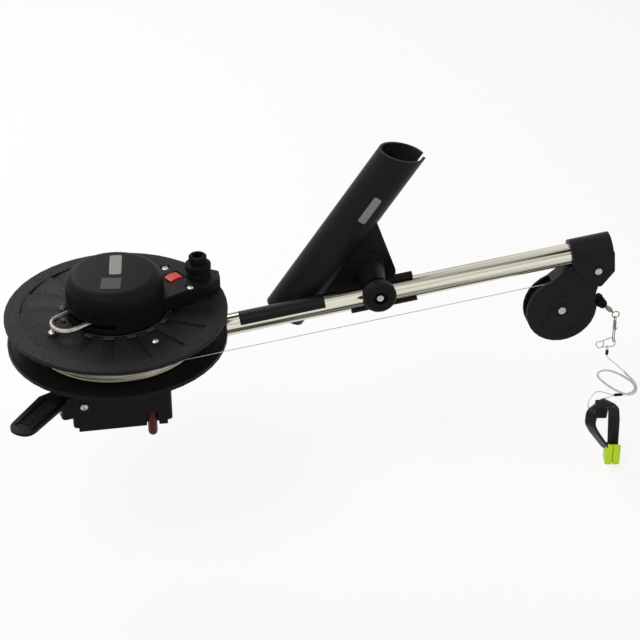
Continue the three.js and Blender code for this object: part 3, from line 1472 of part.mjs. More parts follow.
// The wire bridle: out of the lower crimp, over the block, through its hole and back.
function bridlePoints() {
  const at = (x, y, z) => new THREE.Vector3(x, y + blockHoleY, z + blockHoleZ)
    .applyMatrix4(releaseGroup.matrix);
  const half = blockWidth / 2;
  const gap = bridleDiameter;
  const crimp = lowerCrimp.clone().add(new THREE.Vector3(-seatGap, 0, 0));
  return [
    ...bridleRootShares.map(([back, up]) => crimp.clone().add(new THREE.Vector3(-gap * back, 0, gap * up))),
    ...bridleShares.map(([across, up]) => at(half * across, 0, half * up)),
    ...bridleReturnShares.map(([back, down]) => crimp.clone()
      .add(new THREE.Vector3(-gap * back, 0, -gap * down))),
  ];
}

// The latch lever: a ribbed tongue with a ladder of slots, on a pin beside the base.
function makeLatchLever() {
  const root = leverRootWidth / 2;
  const tip = leverTipWidth / 2;
  const [heelBack, heelSide] = leverHeelShares;
  const outline = roundedOutline([
    [0, -leverEyeRadius],
    [leverNeck, -root, leverNeck / 4],
    [leverLength + tip, -tip, tip],
    [leverLength + tip, tip, tip],
    [leverNeck, root, leverNeck / 4],
    [0, leverEyeRadius],
    [-leverEyeRadius * heelBack, leverEyeRadius * heelSide],
    [-leverEyeRadius * heelBack, -leverEyeRadius * heelSide],
  ], wideCornerSteps);
  let body = slab(outline, leverZ, leverZ + leverThickness);
  const slotEnd = leverSlotStart + (leverSlots - 1) * leverSlotPitch + leverSlotWidth;
  for (const side of [-1, 1]) {
    const from = side * leverSlotLength / 2;
    const rail = slab([
      [leverSlotStart - leverSlotPitch, Math.min(from, from + side * leverRimWidth)],
      [slotEnd + leverRimWidth, Math.min(from, from + side * leverRimWidth)],
      [slotEnd + leverRimWidth, Math.max(from, from + side * leverRimWidth)],
      [leverSlotStart - leverSlotPitch, Math.max(from, from + side * leverRimWidth)],
    ], leverZ + leverThickness / 2, leverZ + leverThickness + leverRim);
    body = body.add(rail);
  }
  for (let i = 0; i < leverSlots; i += 1) {
    const x = leverSlotStart + i * leverSlotPitch;
    body = body.subtract(box([x, -leverSlotLength / 2, leverZ - cutOverrun],
      [x + leverSlotWidth, leverSlotLength / 2, leverZ + leverThickness + cutOverrun]));
  }
  body = body.subtract(bar(leverPinRadius + seatGap, leverZ - cutOverrun, leverZ + leverThickness * 2, 0,
    0, small));
  return geometryOf(body).rotateZ(leverTurn).translate(leverPivotX, leverPivotY, 0);
}

function makeLeverPin() {
  const top = leverZ + leverThickness + seatGap;
  const shank = bar(leverPinRadius, lugBottomZ + baseWall + seatGap, top + cutOverrun / 4, leverPivotX,
    leverPivotY, small);
  return shank.add(bar(leverPinHeadRadius, top, top + leverPinHeadHeight, leverPivotX, leverPivotY, small));
}

// The lock pin: a red rod with a round nose below the foot.
function makeLockPin() {
  const nose = [];
  for (let i = 0; i <= noseSteps; i += 1) {
    const turn = (i / noseSteps) * Math.PI / 2;
    nose.push([lockPinRadius * Math.sin(turn), -lockPinDrop + lockPinRadius * (1 - Math.cos(turn))]);
  }
  nose.shift();
  const body = turned([
    [0, -lockPinDrop],
    ...nose,
    [lockPinRadius, lockPinRise],
    [0, lockPinRise],
  ], pinSides);
  return body.translate([lockPinX, lockPinY, 0]);
}

const windPath = windingPath(windSteps);
console.log('cable winding: least gap to itself',
  leastSelfGap(windPath, cableDiameter, windSteps).toFixed(3), 'mm');

// The stationary frame.
add('foot_plate', makeFootPlate(), black);
add('base_housing', makeBaseHousing(), black);
add('spindle', makeSpindle(), steel);
add('thrust_washer', ring(spindleRadius + seatGap, spindleBossRadius, washerZ, washerZ + washerThickness),
  steel);
add('motor_base', makeMotorBase(), black);
add('spindle_nut', ring(nutBoreRadius, nutRadius, coverZ, coverZ + bearingHeight, hexSides), steel);
add('motor_cover', makeCover(), black);
add('motor', bar(motorRadius, coverZ, coverZ + motorHeight, 0, motorY), steel);
add('arm_nose', makeArmNose(), black);
add('power_socket', makeSocket(), darkRubber);
armScrewPlaces().forEach(([x, y], i) => {
  const screw = add(`arm_screw_${i + 1}`, panScrew(armTopZ - screwHeadHeight + seatGap), steel);
  screw.position.set(x, y, 0);
});
for (const side of [-1, 1]) {
  const screw = add(side < 0 ? 'base_screw_front' : 'base_screw_rear', panScrew(0, baseWall * 2), steel);
  screw.position.set(baseScrewX, side * (footHalfWidth + seatGap), baseScrewZ);
  screw.rotation.x = side < 0 ? Math.PI / 2 : -Math.PI / 2;
}

// The spool and what turns with it.
add('spool_body', makeSpoolBody(), black);
add('spool_upper_flange', makeUpperFlange(), black);
spoolScrewPlaces().forEach(([x, y], i) => {
  const screw = add(`flange_screw_${i + 1}`, panScrew(spoolScrewSeatZ), steel);
  screw.position.set(x, y, 0);
  screw.rotation.z = i * screwTurnStep;
});
add('lower_bearing', ring(spindleRadius + seatGap, bearingRadius, spoolBottomZ,
  spoolBottomZ + bearingHeight), steel);
add('upper_bearing', ring(spindleRadius + seatGap, bearingRadius,
  upperFlangeBottomZ - bearingHeight, upperFlangeBottomZ), steel);
add('drive_gear', makeGear(gearTeeth, gearThickness, flangeTopZ + seatGap, spindleRadius + seatGap, 0),
  steel);
add('cable_inner_layers',
  ring(drumRadius + seatGap, windInnerRadius, lowerFlangeTopZ + seatGap, upperFlangeBottomZ - seatGap,
    fine), cableSteel);
add('cable_outer_layer', woundTube(windPath, cableDiameter, windSides), cableSteel);

// The drive pinion, the brake and the switch.
const pinion = makeGear(pinionTeeth, gearThickness, flangeTopZ + seatGap, 0,
  Math.PI / pinionTeeth + Math.PI / 2);
add('motor_pinion', pinion.add(bar(pinionShaftRadius, flangeTopZ + gearThickness, coverZ - seatGap, 0, 0,
  small)), steel).position.y = motorY;
add('brake_ring', makeBrakeRing(), black);
add('brake_lever', tube(brakeRodCurve(), brakeRodDiameter, brakeRodSteps), steel);
add('up_switch', makeSwitch(), red);

// The boom and what it carries.
add('boom_tube', makeBoom(), steel, boomGroup);
add('clamp_upper', makeClampUpper(), black);
add('clamp_lower', makeClampLower(), black);
add('rod_holder', makeRodHolder(), black);
add('clamp_bolt', makeClampBolt(), steel);
add('clamp_knob', makeKnob(), black);
add('end_cap', makeCap(), black, boomGroup);
add('cap_bolt', makeCapBolt(), steel, boomGroup);
add('pulley_housing_near', makeHousing(-1), black);
add('pulley_housing_far', makeHousing(1), black);
add('pulley_wheel', makeWheel(), black);
add('pulley_axle', makeAxle(), steel);

// The cable and the tackle on its end.
add('cable_run', tube(new THREE.CatmullRomCurve3(cablePoints(), false, 'centripetal'), cableDiameter,
  cableSteps), cableSteel);
add('cable_stop', makeStop(), darkRubber);
add('swivel', makeSwivel(), brassWire);
add('swivel_ring', wireRing(ringRadius, ringWire, 'y').translate(ringCentre.toArray()), brassWire);
const snap = add('snap_link', wireLink(snapLength, snapWidth, snapWire), brassWire);
snap.rotation.set(0, Math.PI / 2, Math.PI / 2, 'ZYX');
snap.position.set(snapX, boomY, (snapTopZ + snapBottomZ) / 2);
const clip = add('leader_clip', wireLink(clipLength, clipHeight, clipWire), brassWire);
clip.position.set(clipMiddleX, boomY, clipTopZ - clipHeight / 2);
add('leader_eye', wireRing(eyeRadius, eyeWire, 'x').translate([eyeX, boomY, eyeZ]), cableSteel);
add('leader_crimp', bar(crimpRadius, crimpTopZ - crimpLength, crimpTopZ, eyeX, boomY, crimpSides), black);
add('leader_wire', tube(route(wireRoute, leaderTop), leaderDiameter, leaderSteps), cableSteel);
add('leader_sleeve', tube(route(sleeveRoute, leaderTop), sleeveDiameter, sleeveSteps), clearSleeve);
add('bridle_crimp', makeLowerCrimp(), black);
add('release_bridle',
  tube(new THREE.CatmullRomCurve3(bridlePoints(), false, 'centripetal'), bridleDiameter,
    bridleSteps), cableSteel);
add('release_strap', makeStrap(), black, releaseGroup);
add('release_block', makeBlock(), darkRubber, releaseGroup);
add('release_pad_left', makePad(-1), lime, releaseGroup);
add('release_pad_right', makePad(1), lime, releaseGroup);

// The latch lever and the lock pin.
add('latch_lever', makeLatchLever(), black);
add('lever_pin', makeLeverPin(), steel);
add('lock_pin', makeLockPin(), darkRed);

export default downrigger;
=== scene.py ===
# %% [markdown]
# # Dressing a downrigger
# A downrigger lowers a fishing line to a set depth. A flat spool of steel cable turns under a round motor
# cover, the cable runs along a polished boom, over a pulley, and ends in a swivel, a snap and a line release.
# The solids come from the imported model. This file gives them rounded shading, real finishes and the fine
# pieces that the solids leave out, such as the full winding, the cords, the hub tabs and the bare plates.
# Sizes are in millimetres unless a comment says otherwise, and MM turns them into Blender's metres.

# %% Load the frame
import json
import math

import bmesh
import bpy
from mathutils import Euler, Matrix, Vector


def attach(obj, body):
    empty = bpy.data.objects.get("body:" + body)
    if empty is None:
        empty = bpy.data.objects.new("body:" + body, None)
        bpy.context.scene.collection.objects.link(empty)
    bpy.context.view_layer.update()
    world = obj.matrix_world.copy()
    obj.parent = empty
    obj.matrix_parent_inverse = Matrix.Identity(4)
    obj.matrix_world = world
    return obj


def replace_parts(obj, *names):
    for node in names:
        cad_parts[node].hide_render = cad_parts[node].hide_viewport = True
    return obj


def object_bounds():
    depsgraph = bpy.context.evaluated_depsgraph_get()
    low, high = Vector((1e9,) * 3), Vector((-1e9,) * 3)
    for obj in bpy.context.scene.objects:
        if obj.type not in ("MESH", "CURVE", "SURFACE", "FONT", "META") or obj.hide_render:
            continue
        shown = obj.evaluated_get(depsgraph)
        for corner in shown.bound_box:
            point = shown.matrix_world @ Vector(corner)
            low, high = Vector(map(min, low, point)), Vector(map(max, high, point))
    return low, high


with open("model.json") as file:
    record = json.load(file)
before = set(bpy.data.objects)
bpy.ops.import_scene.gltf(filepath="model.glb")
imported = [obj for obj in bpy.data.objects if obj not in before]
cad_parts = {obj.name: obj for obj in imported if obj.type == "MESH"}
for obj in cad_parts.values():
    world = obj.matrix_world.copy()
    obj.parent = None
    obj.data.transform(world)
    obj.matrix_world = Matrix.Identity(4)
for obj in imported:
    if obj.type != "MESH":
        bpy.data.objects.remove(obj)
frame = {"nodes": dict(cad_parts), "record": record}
cad_low, cad_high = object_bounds()
nodes = frame["nodes"]
MM = 0.001
BOX_DIGITS = 3


def box_of(node):
    """The low and the high corner of a solid in millimetres, to a thousandth."""
    axes = list(zip(*(vert.co / MM for vert in nodes[node].data.vertices)))
    return [tuple(round(pick(axis), BOX_DIGITS) for axis in axes) for pick in (min, max)]


print("solids:", len(nodes), "box (mm):", [round(v / MM, 1) for v in (*cad_low, *cad_high)])

# %% [markdown]
# ## The camera
# The photograph was taken from the front left and above, with a long lens. The place and the direction were
# worked out from the ellipses of the spool and the line of the boom, so the camera is set by numbers and
# not by eye. A long lens keeps the two spool flanges almost parallel, as they are in the photograph.

# %% Camera
CAMERA_PLACE_MM = (-74.99, -1813.66, 1272.79)
CAMERA_DIRECTION = (0.14068575, 0.82896768, -0.54131331)
CAMERA_ROLL_DEG = -0.08
SENSOR_MM = 36.0
IMAGE_PIXELS = 640
FOCAL_PIXELS = 1895.72
# Nearer or farther than this, in metres, nothing is drawn.
CLIP_NEAR = 0.01
CLIP_FAR = 50.0

camera_data = bpy.data.cameras.new("long_lens")
camera_data.sensor_width = SENSOR_MM
camera_data.lens = FOCAL_PIXELS / IMAGE_PIXELS * SENSOR_MM
camera_data.clip_start = CLIP_NEAR
camera_data.clip_end = CLIP_FAR
camera = bpy.data.objects.new("camera", camera_data)
camera.location = Vector(CAMERA_PLACE_MM) * MM
camera.rotation_mode = "QUATERNION"
look = Vector(CAMERA_DIRECTION).to_track_quat("-Z", "Y")
camera.rotation_quaternion = look @ Euler((0, 0, math.radians(CAMERA_ROLL_DEG))).to_quaternion()
bpy.context.scene.collection.objects.link(camera)
bpy.context.scene.camera = camera
print("lens (mm):", round(camera_data.lens, 1))

# %% [markdown]
# ## Cords
# Four pieces are thin and flexible: the taut cable, the bare leader wire, its plastic sleeve, and the wire
# bridle that carries the release. A cord is best kept as a curve with a round bevel: the curve is its centre
# line, so its real length can be measured. The points are chosen along the route, and a centripetal
# Catmull-Rom curve passes through each of them without the overshoot that an ordinary spline gives.

# %% A smooth line through chosen points
STEPS_PER_SPAN = 6


def smooth_line(points_mm, steps=STEPS_PER_SPAN):
    """Points in metres along the centripetal Catmull-Rom curve through the given points in millimetres."""
    points = [Vector(p) * MM for p in points_mm]
    before = points[0] * 2 - points[1]
    after = points[-1] * 2 - points[-2]
    guides = [before, *points, after]
    line = []
    for a, b, c, d in zip(guides, guides[1:], guides[2:], guides[3:]):
        ta = 0.0
        tb = ta + math.sqrt((b - a).length)
        tc = tb + math.sqrt((c - b).length)
        td = tc + math.sqrt((d - c).length)
        for i in range(steps):
            t = tb + (tc - tb) * i / steps
            ab = a.lerp(b, (t - ta) / (tb - ta))
            bc = b.lerp(c, (t - tb) / (tc - tb))
            cd = c.lerp(d, (t - tc) / (td - tc))
            abc = ab.lerp(bc, (t - ta) / (tc - ta))
            bcd = bc.lerp(cd, (t - tb) / (td - tb))
            line.append(abc.lerp(bcd, (t - tb) / (tc - tb)))
    return [*line, points[-1]]


# Blender's box round a curve counts the radius of its points, which is a metre unless it is set. So each
# point has the cord's own radius, and the bevel is the unit that this radius scales.
UNIT_BEVEL = 1.0


def cord_curve(name, line, diameter_mm, roundness=2):
    """A round cord along a line of points in metres."""
    data = bpy.data.curves.new(name, "CURVE")
    data.dimensions = "3D"
    data.bevel_depth = UNIT_BEVEL
    data.bevel_resolution = roundness
    data.use_fill_caps = True
    spline = data.splines.new("POLY")
    spline.points.add(len(line) - 1)
    for point, place in zip(spline.points, line):
        point.co = (*place, 1.0)
        point.radius = diameter_mm * MM / 2
    cord = bpy.data.objects.new(name, data)
    bpy.context.scene.collection.objects.link(cord)
    return cord


def length_of(line):
    """The length of a line of points, in its own units."""
    return sum((b - a).length for a, b in zip(line, line[1:]))


# %% The routes of the four cords
CABLE_MM = 0.85
WIRE_MM = 1.0
SLEEVE_MM = 2.6
BRIDLE_MM = 0.9
CABLE_POINTS = [
    (-25.52, -92.08, 107.8), (-16.2, -94.17, 107.8), (-6.72, -95.31, 107.8), (2.83, -95.51, 107.8),
    (12.35, -94.75, 107.8), (21.75, -93.04, 107.8), (63.98, -82.95, 106.62), (148.44, -62.78, 104.25),
    (232.9, -42.61, 101.88), (317.35, -22.43, 99.52), (401.81, -2.26, 97.15), (486.27, 17.91, 94.78),
    (507.39, 22.96, 94.19), (528.5, 28, 93.6), (533.9, 28, 93.18), (539.18, 28, 91.95), (544.2, 28, 89.92),
    (548.85, 28, 87.14), (553.02, 28, 83.69), (559.4, 28, 77.54), (572.14, 28, 65.23), (584.89, 28, 52.92),
]
LEADER_TOP = (593.38, 28.0, -18.74)
WIRE_STEPS = [
    (0, 0, 0), (0, 0, -1.2), (4.6, -0.4, -7.6), (11.2, -0.8, -13.8), (18.2, -1.2, -21), (23.8, -1.6, -27),
]
SLEEVE_STEPS = [
    (24.2, -1.62, -27.4), (30.3, -2, -34.8), (37.5, -2.5, -43.2), (41.8, -2.8, -52.6), (40.2, -2.8, -59.8),
    (34.1, -2.8, -62), (26.1, -2.6, -59.6), (12.6, -2, -51.9), (-1.2, -0.9, -40.3), (-8.6, 0.1, -31.4),
    (-8.4, 0.9, -26.7), (-1.9, 1.5, -24.6), (6.1, 1.8, -26.1), (19.5, 2, -33), (30.1, 2.3, -40.9),
    (38.1, 2.6, -48.7), (42.1, 2.8, -56.4), (39, 2.9, -62.8), (32.4, 2.9, -64.7), (26.4, 2.9, -64.7),
]
BRIDLE_POINTS = [
    (609.18, 30.9, -82.72), (607.38, 30.9, -82.72), (589.05, 34.35, -78.03), (581.2, 30.12, -79.5),
    (574.58, 25.55, -87.64), (574.96, 24.84, -93.77), (579.61, 26.95, -95.56), (584.7, 29.77, -94.1),
    (591.07, 33.29, -92.28), (595.52, 35.76, -91), (605.58, 30.9, -85.24), (607.38, 30.9, -84.16),
    (609.18, 30.9, -84.16),
]


def below_leader(steps):
    """Points given as steps from the top of the leader."""
    return [tuple(a + b for a, b in zip(LEADER_TOP, step)) for step in steps]


# Each cord's points and diameter, the solid that it stands for and the body that it rides on.
ROUTES = {
    "cable": (CABLE_POINTS, CABLE_MM, "cable_run", "frame"),
    "wire_of_leader": (below_leader(WIRE_STEPS), WIRE_MM, "leader_wire", "tackle"),
    "sleeve_of_leader": (below_leader(SLEEVE_STEPS), SLEEVE_MM, "leader_sleeve", "tackle"),
    "bridle": (BRIDLE_POINTS, BRIDLE_MM, "release_bridle", "tackle"),
}
lines = {}
cords = {}
for name, (points, diameter, node, body) in ROUTES.items():
    lines[name] = smooth_line(points)
    cords[name] = cord_curve(name, lines[name], diameter)
    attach(cords[name], body)
    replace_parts(cords[name], node)
    print(name, "is", round(length_of(lines[name]) / MM, 1), "mm long")

# %% [markdown]
# ## Finishes
# Most of the object is black, so what tells the pieces apart is how their moulds were finished: the motor
# cover is nearly smooth, the spool is eroded to a coarse matt grain, and the rubber parts are dull. Each
# finish below starts from the real material. Grain finer than a pixel is drawn a little coarser than life,
# so that it still shows. A bevel node softens the shading of sharp edges, as a mould radius does.

# %% Colours and the helpers for nodes
def colour(text, alpha=1.0):
    """A linear colour from an sRGB hex value such as 1d1c1e."""
    channels = [int(text[i:i + 2], 16) / 255 for i in (0, 2, 4)]
    return (*(c / 12.92 if c <= 0.04045 else ((c + 0.055) / 1.055) ** 2.4 for c in channels), alpha)


def add_node(material, kind, inputs=None, **settings):
    """Adds a node, sets its properties, and gives its inputs their values or links."""
    node = material.node_tree.nodes.new(kind)
    for name, value in settings.items():
        setattr(node, name, value)
    for socket, value in (inputs or {}).items():
        if isinstance(value, bpy.types.NodeSocket):
            material.node_tree.links.new(value, node.inputs[socket])
        else:
            node.inputs[socket].default_value = value
    return node


def blank_finish(name):
    """A material with an empty node tree."""
    material = bpy.data.materials.new(name)
    material.use_nodes = True
    material.node_tree.nodes.clear()
    return material


def shade(material, inputs):
    """The Principled shader and the output that every finish ends in."""
    shader = add_node(material, "ShaderNodeBsdfPrincipled", inputs)
    add_node(material, "ShaderNodeOutputMaterial", {"Surface": shader.outputs["BSDF"]})
    return material


# %% Moulded plastics and rubbers
PATCH_MM = 38.0
MOULD_EDGE_MM = 0.5
EDGE_SAMPLES = 4
PLASTIC_IOR = 1.5
# The cosine between a face and its bevelled normal: above the first an edge keeps its own tone, at the second
# it is painted paler in full, partly as wear and partly as a painted highlight, which turns it this share of
# the way to the paler edge colour.
RUB_HIGHLIGHT_FROM = 0.985
RUB_HIGHLIGHT_TO = 0.86
RUB_HIGHLIGHT_SHARE = 0.4


def moulded(name, deep, pale, worn_highlight, grain_mm, relief_mm, smooth, dull, gloss):
    """A moulded surface: a fine grain, slow changes of tone and gloss, and edges painted paler, as wear and
    as a painted highlight.
    """
    made = blank_finish(name)
    place = add_node(made, "ShaderNodeTexCoord").outputs["Object"]
    grain = add_node(made, "ShaderNodeTexNoise", {
        "Vector": place, "Scale": 1 / (grain_mm * MM), "Detail": 3.0, "Roughness": 0.6})
    cloud = add_node(made, "ShaderNodeTexNoise", {
        "Vector": place, "Scale": 1 / (PATCH_MM * MM), "Detail": 4.0, "Roughness": 0.55})
    tone = add_node(made, "ShaderNodeMix", {
        "Factor": cloud.outputs["Fac"], "A": colour(deep), "B": colour(pale)}, data_type="RGBA")
    edge = add_node(made, "ShaderNodeBevel", {"Radius": MOULD_EDGE_MM * MM}, samples=EDGE_SAMPLES)
    face = add_node(made, "ShaderNodeNewGeometry").outputs["Normal"]
    bend = add_node(made, "ShaderNodeVectorMath", {
        0: edge.outputs["Normal"], 1: face}, operation="DOT_PRODUCT")
    # Edges are painted paler here: partly wear, partly a painted highlight along rims and corners.
    rub_highlight = add_node(made, "ShaderNodeMapRange", {
        "Value": bend.outputs["Value"], "From Min": RUB_HIGHLIGHT_FROM, "From Max": RUB_HIGHLIGHT_TO, "To Max": RUB_HIGHLIGHT_SHARE})
    paint = add_node(made, "ShaderNodeMix", {
        "Factor": rub_highlight.outputs["Result"], "A": tone.outputs["Result"], "B": colour(worn_highlight)}, data_type="RGBA")
    mottle = add_node(made, "ShaderNodeMapRange", {
        "Value": grain.outputs["Fac"], "From Min": 0.3, "From Max": 0.7, "To Min": smooth, "To Max": dull})
    relief = add_node(made, "ShaderNodeBump", {
        "Height": grain.outputs["Fac"], "Normal": edge.outputs["Normal"],
        "Strength": 0.6, "Distance": relief_mm * MM})
    return shade(made, {
        "Base Color": paint.outputs["Result"], "Roughness": mottle.outputs["Result"],
        "Normal": relief.outputs["Normal"], "Specular IOR Level": gloss, "IOR": PLASTIC_IOR})


# ABS with a light texture: near black, with a soft broad highlight.
cover_abs = moulded("textured_abs", deep="0f0f10", pale="151516", worn_highlight="252525",
                    grain_mm=1.3, relief_mm=0.06, smooth=0.4, dull=0.54, gloss=0.05)
# Glass-filled nylon from an eroded mould: a shade paler and matt, with a grain that catches the light.
spool_nylon = moulded("eroded_nylon", deep="0e0d0e", pale="201f20", worn_highlight="444444",
                      grain_mm=2.2, relief_mm=0.6, smooth=0.36, dull=0.66, gloss=0.08)
# A paler copy of the same nylon, on the small raised tabs.
paler_nylon = moulded("paler_nylon", deep="262626", pale="3d3c3b", worn_highlight="5a5957",
                       grain_mm=1.4, relief_mm=0.2, smooth=0.34, dull=0.56, gloss=0.2)
# The lower flange and the base: the same nylon, smoother and darker.
base_nylon = moulded("moulded_nylon", deep="0f0f10", pale="161617", worn_highlight="303030",
                     grain_mm=1.4, relief_mm=0.06, smooth=0.36, dull=0.5, gloss=0.07)
# Acetal of the pulley and the caps: dense, a little waxy.
pulley_acetal = moulded("black_acetal", deep="131314", pale="1b1b1c", worn_highlight="333333",
                        grain_mm=1.5, relief_mm=0.05, smooth=0.34, dull=0.48, gloss=0.09)
# Rubber: dull, and it never shines at the edges.
soft_rubber = moulded("nitrile_rubber", deep="0d0d0e", pale="151516", worn_highlight="1d1d1d",
                      grain_mm=1.2, relief_mm=0.08, smooth=0.6, dull=0.76, gloss=0.06)
# Signal red ABS of the switch, and the dark red vinyl of the lock pin.
switch_abs = moulded("red_abs", deep="bc2a21", pale="d43c31", worn_highlight="e06a5c",
                     grain_mm=1.5, relief_mm=0.04, smooth=0.3, dull=0.42, gloss=0.25)
pin_vinyl = moulded("red_vinyl", deep="430e11", pale="5a1519", worn_highlight="6c2226",
                    grain_mm=1.6, relief_mm=0.05, smooth=0.24, dull=0.36, gloss=0.15)
# Silicone pads of the release: bright lime, softly lit and a little soiled.
lime_silicone = moulded("lime_silicone", deep="b2d81f", pale="c8ea36", worn_highlight="d4ee68",
                        grain_mm=1.8, relief_mm=0.08, smooth=0.45, dull=0.6, gloss=0.2)

# %% [markdown]
# ## Metals
# The boom is a drawn and polished stainless tube. Its noise paints long straight bands of reflection, dark
# and bright, into its colour, so it is stretched along the boom's own axis: two Mapping nodes bring the
# pattern into line with the tube, and a third makes it long and thin. Screws are small and evenly satin. The
# cable is twisted from fine strands, which show as a sparkle of lighter and darker spots.

# %% Stainless steel, cable and wire
# The boom's axis: its slope, and where it crosses the spindle's plane.
BOOM_SLOPE = math.radians(7.67)
BOOM_START = Vector((0.0, 28.0, 58.2)) * MM


def metal(name, dark, bright, grain_mm, relief_mm, smooth, dull, stretch=(1, 1, 1), spread=0.2,
          turn=(0, 0, 0), centre=(0, 0, 0), edge_mm=0.25):
    """A metal whose tone, gloss and relief follow one noise, stretched by a share along each axis."""
    made = blank_finish(name)
    place = add_node(made, "ShaderNodeTexCoord").outputs["Object"]
    laid = add_node(made, "ShaderNodeMapping", {"Vector": place, "Location": centre}, vector_type="POINT")
    turned = add_node(made, "ShaderNodeMapping", {
        "Vector": laid.outputs["Vector"], "Rotation": turn}, vector_type="POINT")
    stretched_place = add_node(made, "ShaderNodeMapping", {
        "Vector": turned.outputs["Vector"], "Scale": stretch}, vector_type="POINT")
    marks_and_reflections = add_node(made, "ShaderNodeTexNoise", {
        "Vector": stretched_place.outputs["Vector"], "Scale": 1 / (grain_mm * MM), "Detail": 5.0, "Roughness": 0.62})
    tone = add_node(made, "ShaderNodeMapRange", {
        "Value": marks_and_reflections.outputs["Fac"], "From Min": 0.5 - spread, "From Max": 0.5 + spread})
    # On the boom, this tint paints long dark and bright bands of reflection into the colour.
    tint = add_node(made, "ShaderNodeMix", {
        "Factor": tone.outputs["Result"], "A": colour(dark), "B": colour(bright)}, data_type="RGBA")
    sheen = add_node(made, "ShaderNodeMapRange", {
        "Value": tone.outputs["Result"], "To Min": dull, "To Max": smooth})
    edge = add_node(made, "ShaderNodeBevel", {"Radius": edge_mm * MM}, samples=EDGE_SAMPLES)
    relief = add_node(made, "ShaderNodeBump", {
        "Height": marks_and_reflections.outputs["Fac"], "Normal": edge.outputs["Normal"],
        "Strength": 0.5, "Distance": relief_mm * MM})
    return shade(made, {
        "Base Color": tint.outputs["Result"], "Metallic": 1.0, "Roughness": sheen.outputs["Result"],
        "Normal": relief.outputs["Normal"]})


# Drawn 304 stainless: bright, faintly warm, with painted reflections of dark lines a few millimetres apart
# around the tube.
boom_steel = metal("stainless_painted_reflections", dark="211f1b", bright="dedac9", grain_mm=5.0, relief_mm=0.1,
                   smooth=0.1, dull=0.26, stretch=(0.006, 1, 1), spread=0.08,
                   turn=(0, BOOM_SLOPE, 0), centre=tuple(-BOOM_START))
# Screws, shafts and gears: the same steel, tumbled, so it is evenly satin.
screw_steel = metal("tumbled_stainless", dark="9a978f", bright="c9c6bd", grain_mm=3.2, relief_mm=0.01,
                    smooth=0.2, dull=0.32)
# The brake rod is bent from smooth round bar, so its tone only drifts slowly.
rod_steel = metal("bent_bar_stainless", dark="78746a", bright="b6b2a6", grain_mm=15.0, relief_mm=0.01,
                  smooth=0.28, dull=0.4)
# Seven-strand cable: the lay of the strands gives spots about as long as the cable is thick.
cable_steel = metal("stranded_stainless", dark="6d675a", bright="cfc9b6", grain_mm=1.1, relief_mm=0.12,
                    smooth=0.28, dull=0.5, edge_mm=0.05)
# The winding on the drum: rows of cable, some seated deeper than others; the tone that changes row by row is
# painted shade and painted highlight on those rows.
wound_steel = metal("wound_cable", dark="6a6353", bright="f7f1de", grain_mm=9.0, relief_mm=0.1,
                    smooth=0.28, dull=0.5, stretch=(0.12, 0.12, 6.0), spread=0.12, edge_mm=0.05)
# Tinned brass wire of the swivel and snaps: warm, dulled by salt.
snap_brass = metal("salted_brass", dark="5f5a4d", bright="99927f", grain_mm=2.0, relief_mm=0.04,
                   smooth=0.26, dull=0.5, edge_mm=0.1)

# %% [markdown]
# ## Thin films and the leader's sleeve
# Two bare plates sit on the motor cover and one on the rod holder, and a bare black film lies on the
# boom. They are thin films in real life, so they get a fine and shallow grain and a smooth face.
# The sleeve is clouded vinyl: it lets some light through, which a little transmission gives.

# %% Films and sleeve
plate_film = moulded("aluminium_film", deep="6c6c68", pale="868681", worn_highlight="94948e",
                     grain_mm=1.4, relief_mm=0.02, smooth=0.34, dull=0.44, gloss=0.3)
grey_film = moulded("printed_film", deep="3a3a3b", pale="474748", worn_highlight="505050",
                    grain_mm=1.2, relief_mm=0.02, smooth=0.4, dull=0.5, gloss=0.1)
wrap_film = moulded("vinyl_wrap", deep="0c0c0d", pale="121213", worn_highlight="1c1c1c",
                    grain_mm=1.6, relief_mm=0.02, smooth=0.26, dull=0.36, gloss=0.12)

SLEEVE_CLOUD_MM = 4.0
SLEEVE_RELIEF_MM = 0.1
sleeve_vinyl = blank_finish("clouded_vinyl")
sleeve_place = add_node(sleeve_vinyl, "ShaderNodeTexCoord").outputs["Object"]
sleeve_cloud = add_node(sleeve_vinyl, "ShaderNodeTexNoise", {
    "Vector": sleeve_place, "Scale": 1 / (SLEEVE_CLOUD_MM * MM), "Detail": 3.0})
sleeve_tone = add_node(sleeve_vinyl, "ShaderNodeMix", {
    "Factor": sleeve_cloud.outputs["Fac"], "A": colour("c4c5be"), "B": colour("e6e7e1")}, data_type="RGBA")
sleeve_relief = add_node(sleeve_vinyl, "ShaderNodeBump", {
    "Height": sleeve_cloud.outputs["Fac"], "Strength": 0.3, "Distance": SLEEVE_RELIEF_MM * MM})
shade(sleeve_vinyl, {
    "Base Color": sleeve_tone.outputs["Result"], "Roughness": 0.32, "Transmission Weight": 0.25,
    "Normal": sleeve_relief.outputs["Normal"]})
print("finishes:", sorted(m.name for m in bpy.data.materials if m.node_tree and m.node_tree.nodes))

# %% [markdown]
# ## Putting a finish on the solids
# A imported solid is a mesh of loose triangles, which shades as flat facets. The solid itself is left alone.
# A copy of it is merged, its flat faces are joined, and every edge that turns by less than a set angle is
# shaded smooth, so that a turned part looks round and a moulded edge stays crisp. The copy then stands for
# the solid and rides on the same body.

# %% The dressing helper
CREASE = math.radians(33)
MERGE = 0.002 * MM
FLAT = math.radians(0.4)


def keep_mesh(name, shape, finish, body):
    """Turns a bmesh into a piece that rides on a body, with its creases marked."""
    bmesh.ops.recalc_face_normals(shape, faces=shape.faces)
    for face in shape.faces:
        face.smooth = True
    for edge in shape.edges:
        edge.smooth = len(edge.link_faces) == 2 and edge.calc_face_angle(math.pi) < CREASE
    data = bpy.data.meshes.new(name)
    shape.to_mesh(data)
    shape.free()
    data.materials.append(finish)
    piece = bpy.data.objects.new(name, data)
    bpy.context.scene.collection.objects.link(piece)
    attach(piece, body)
    return piece


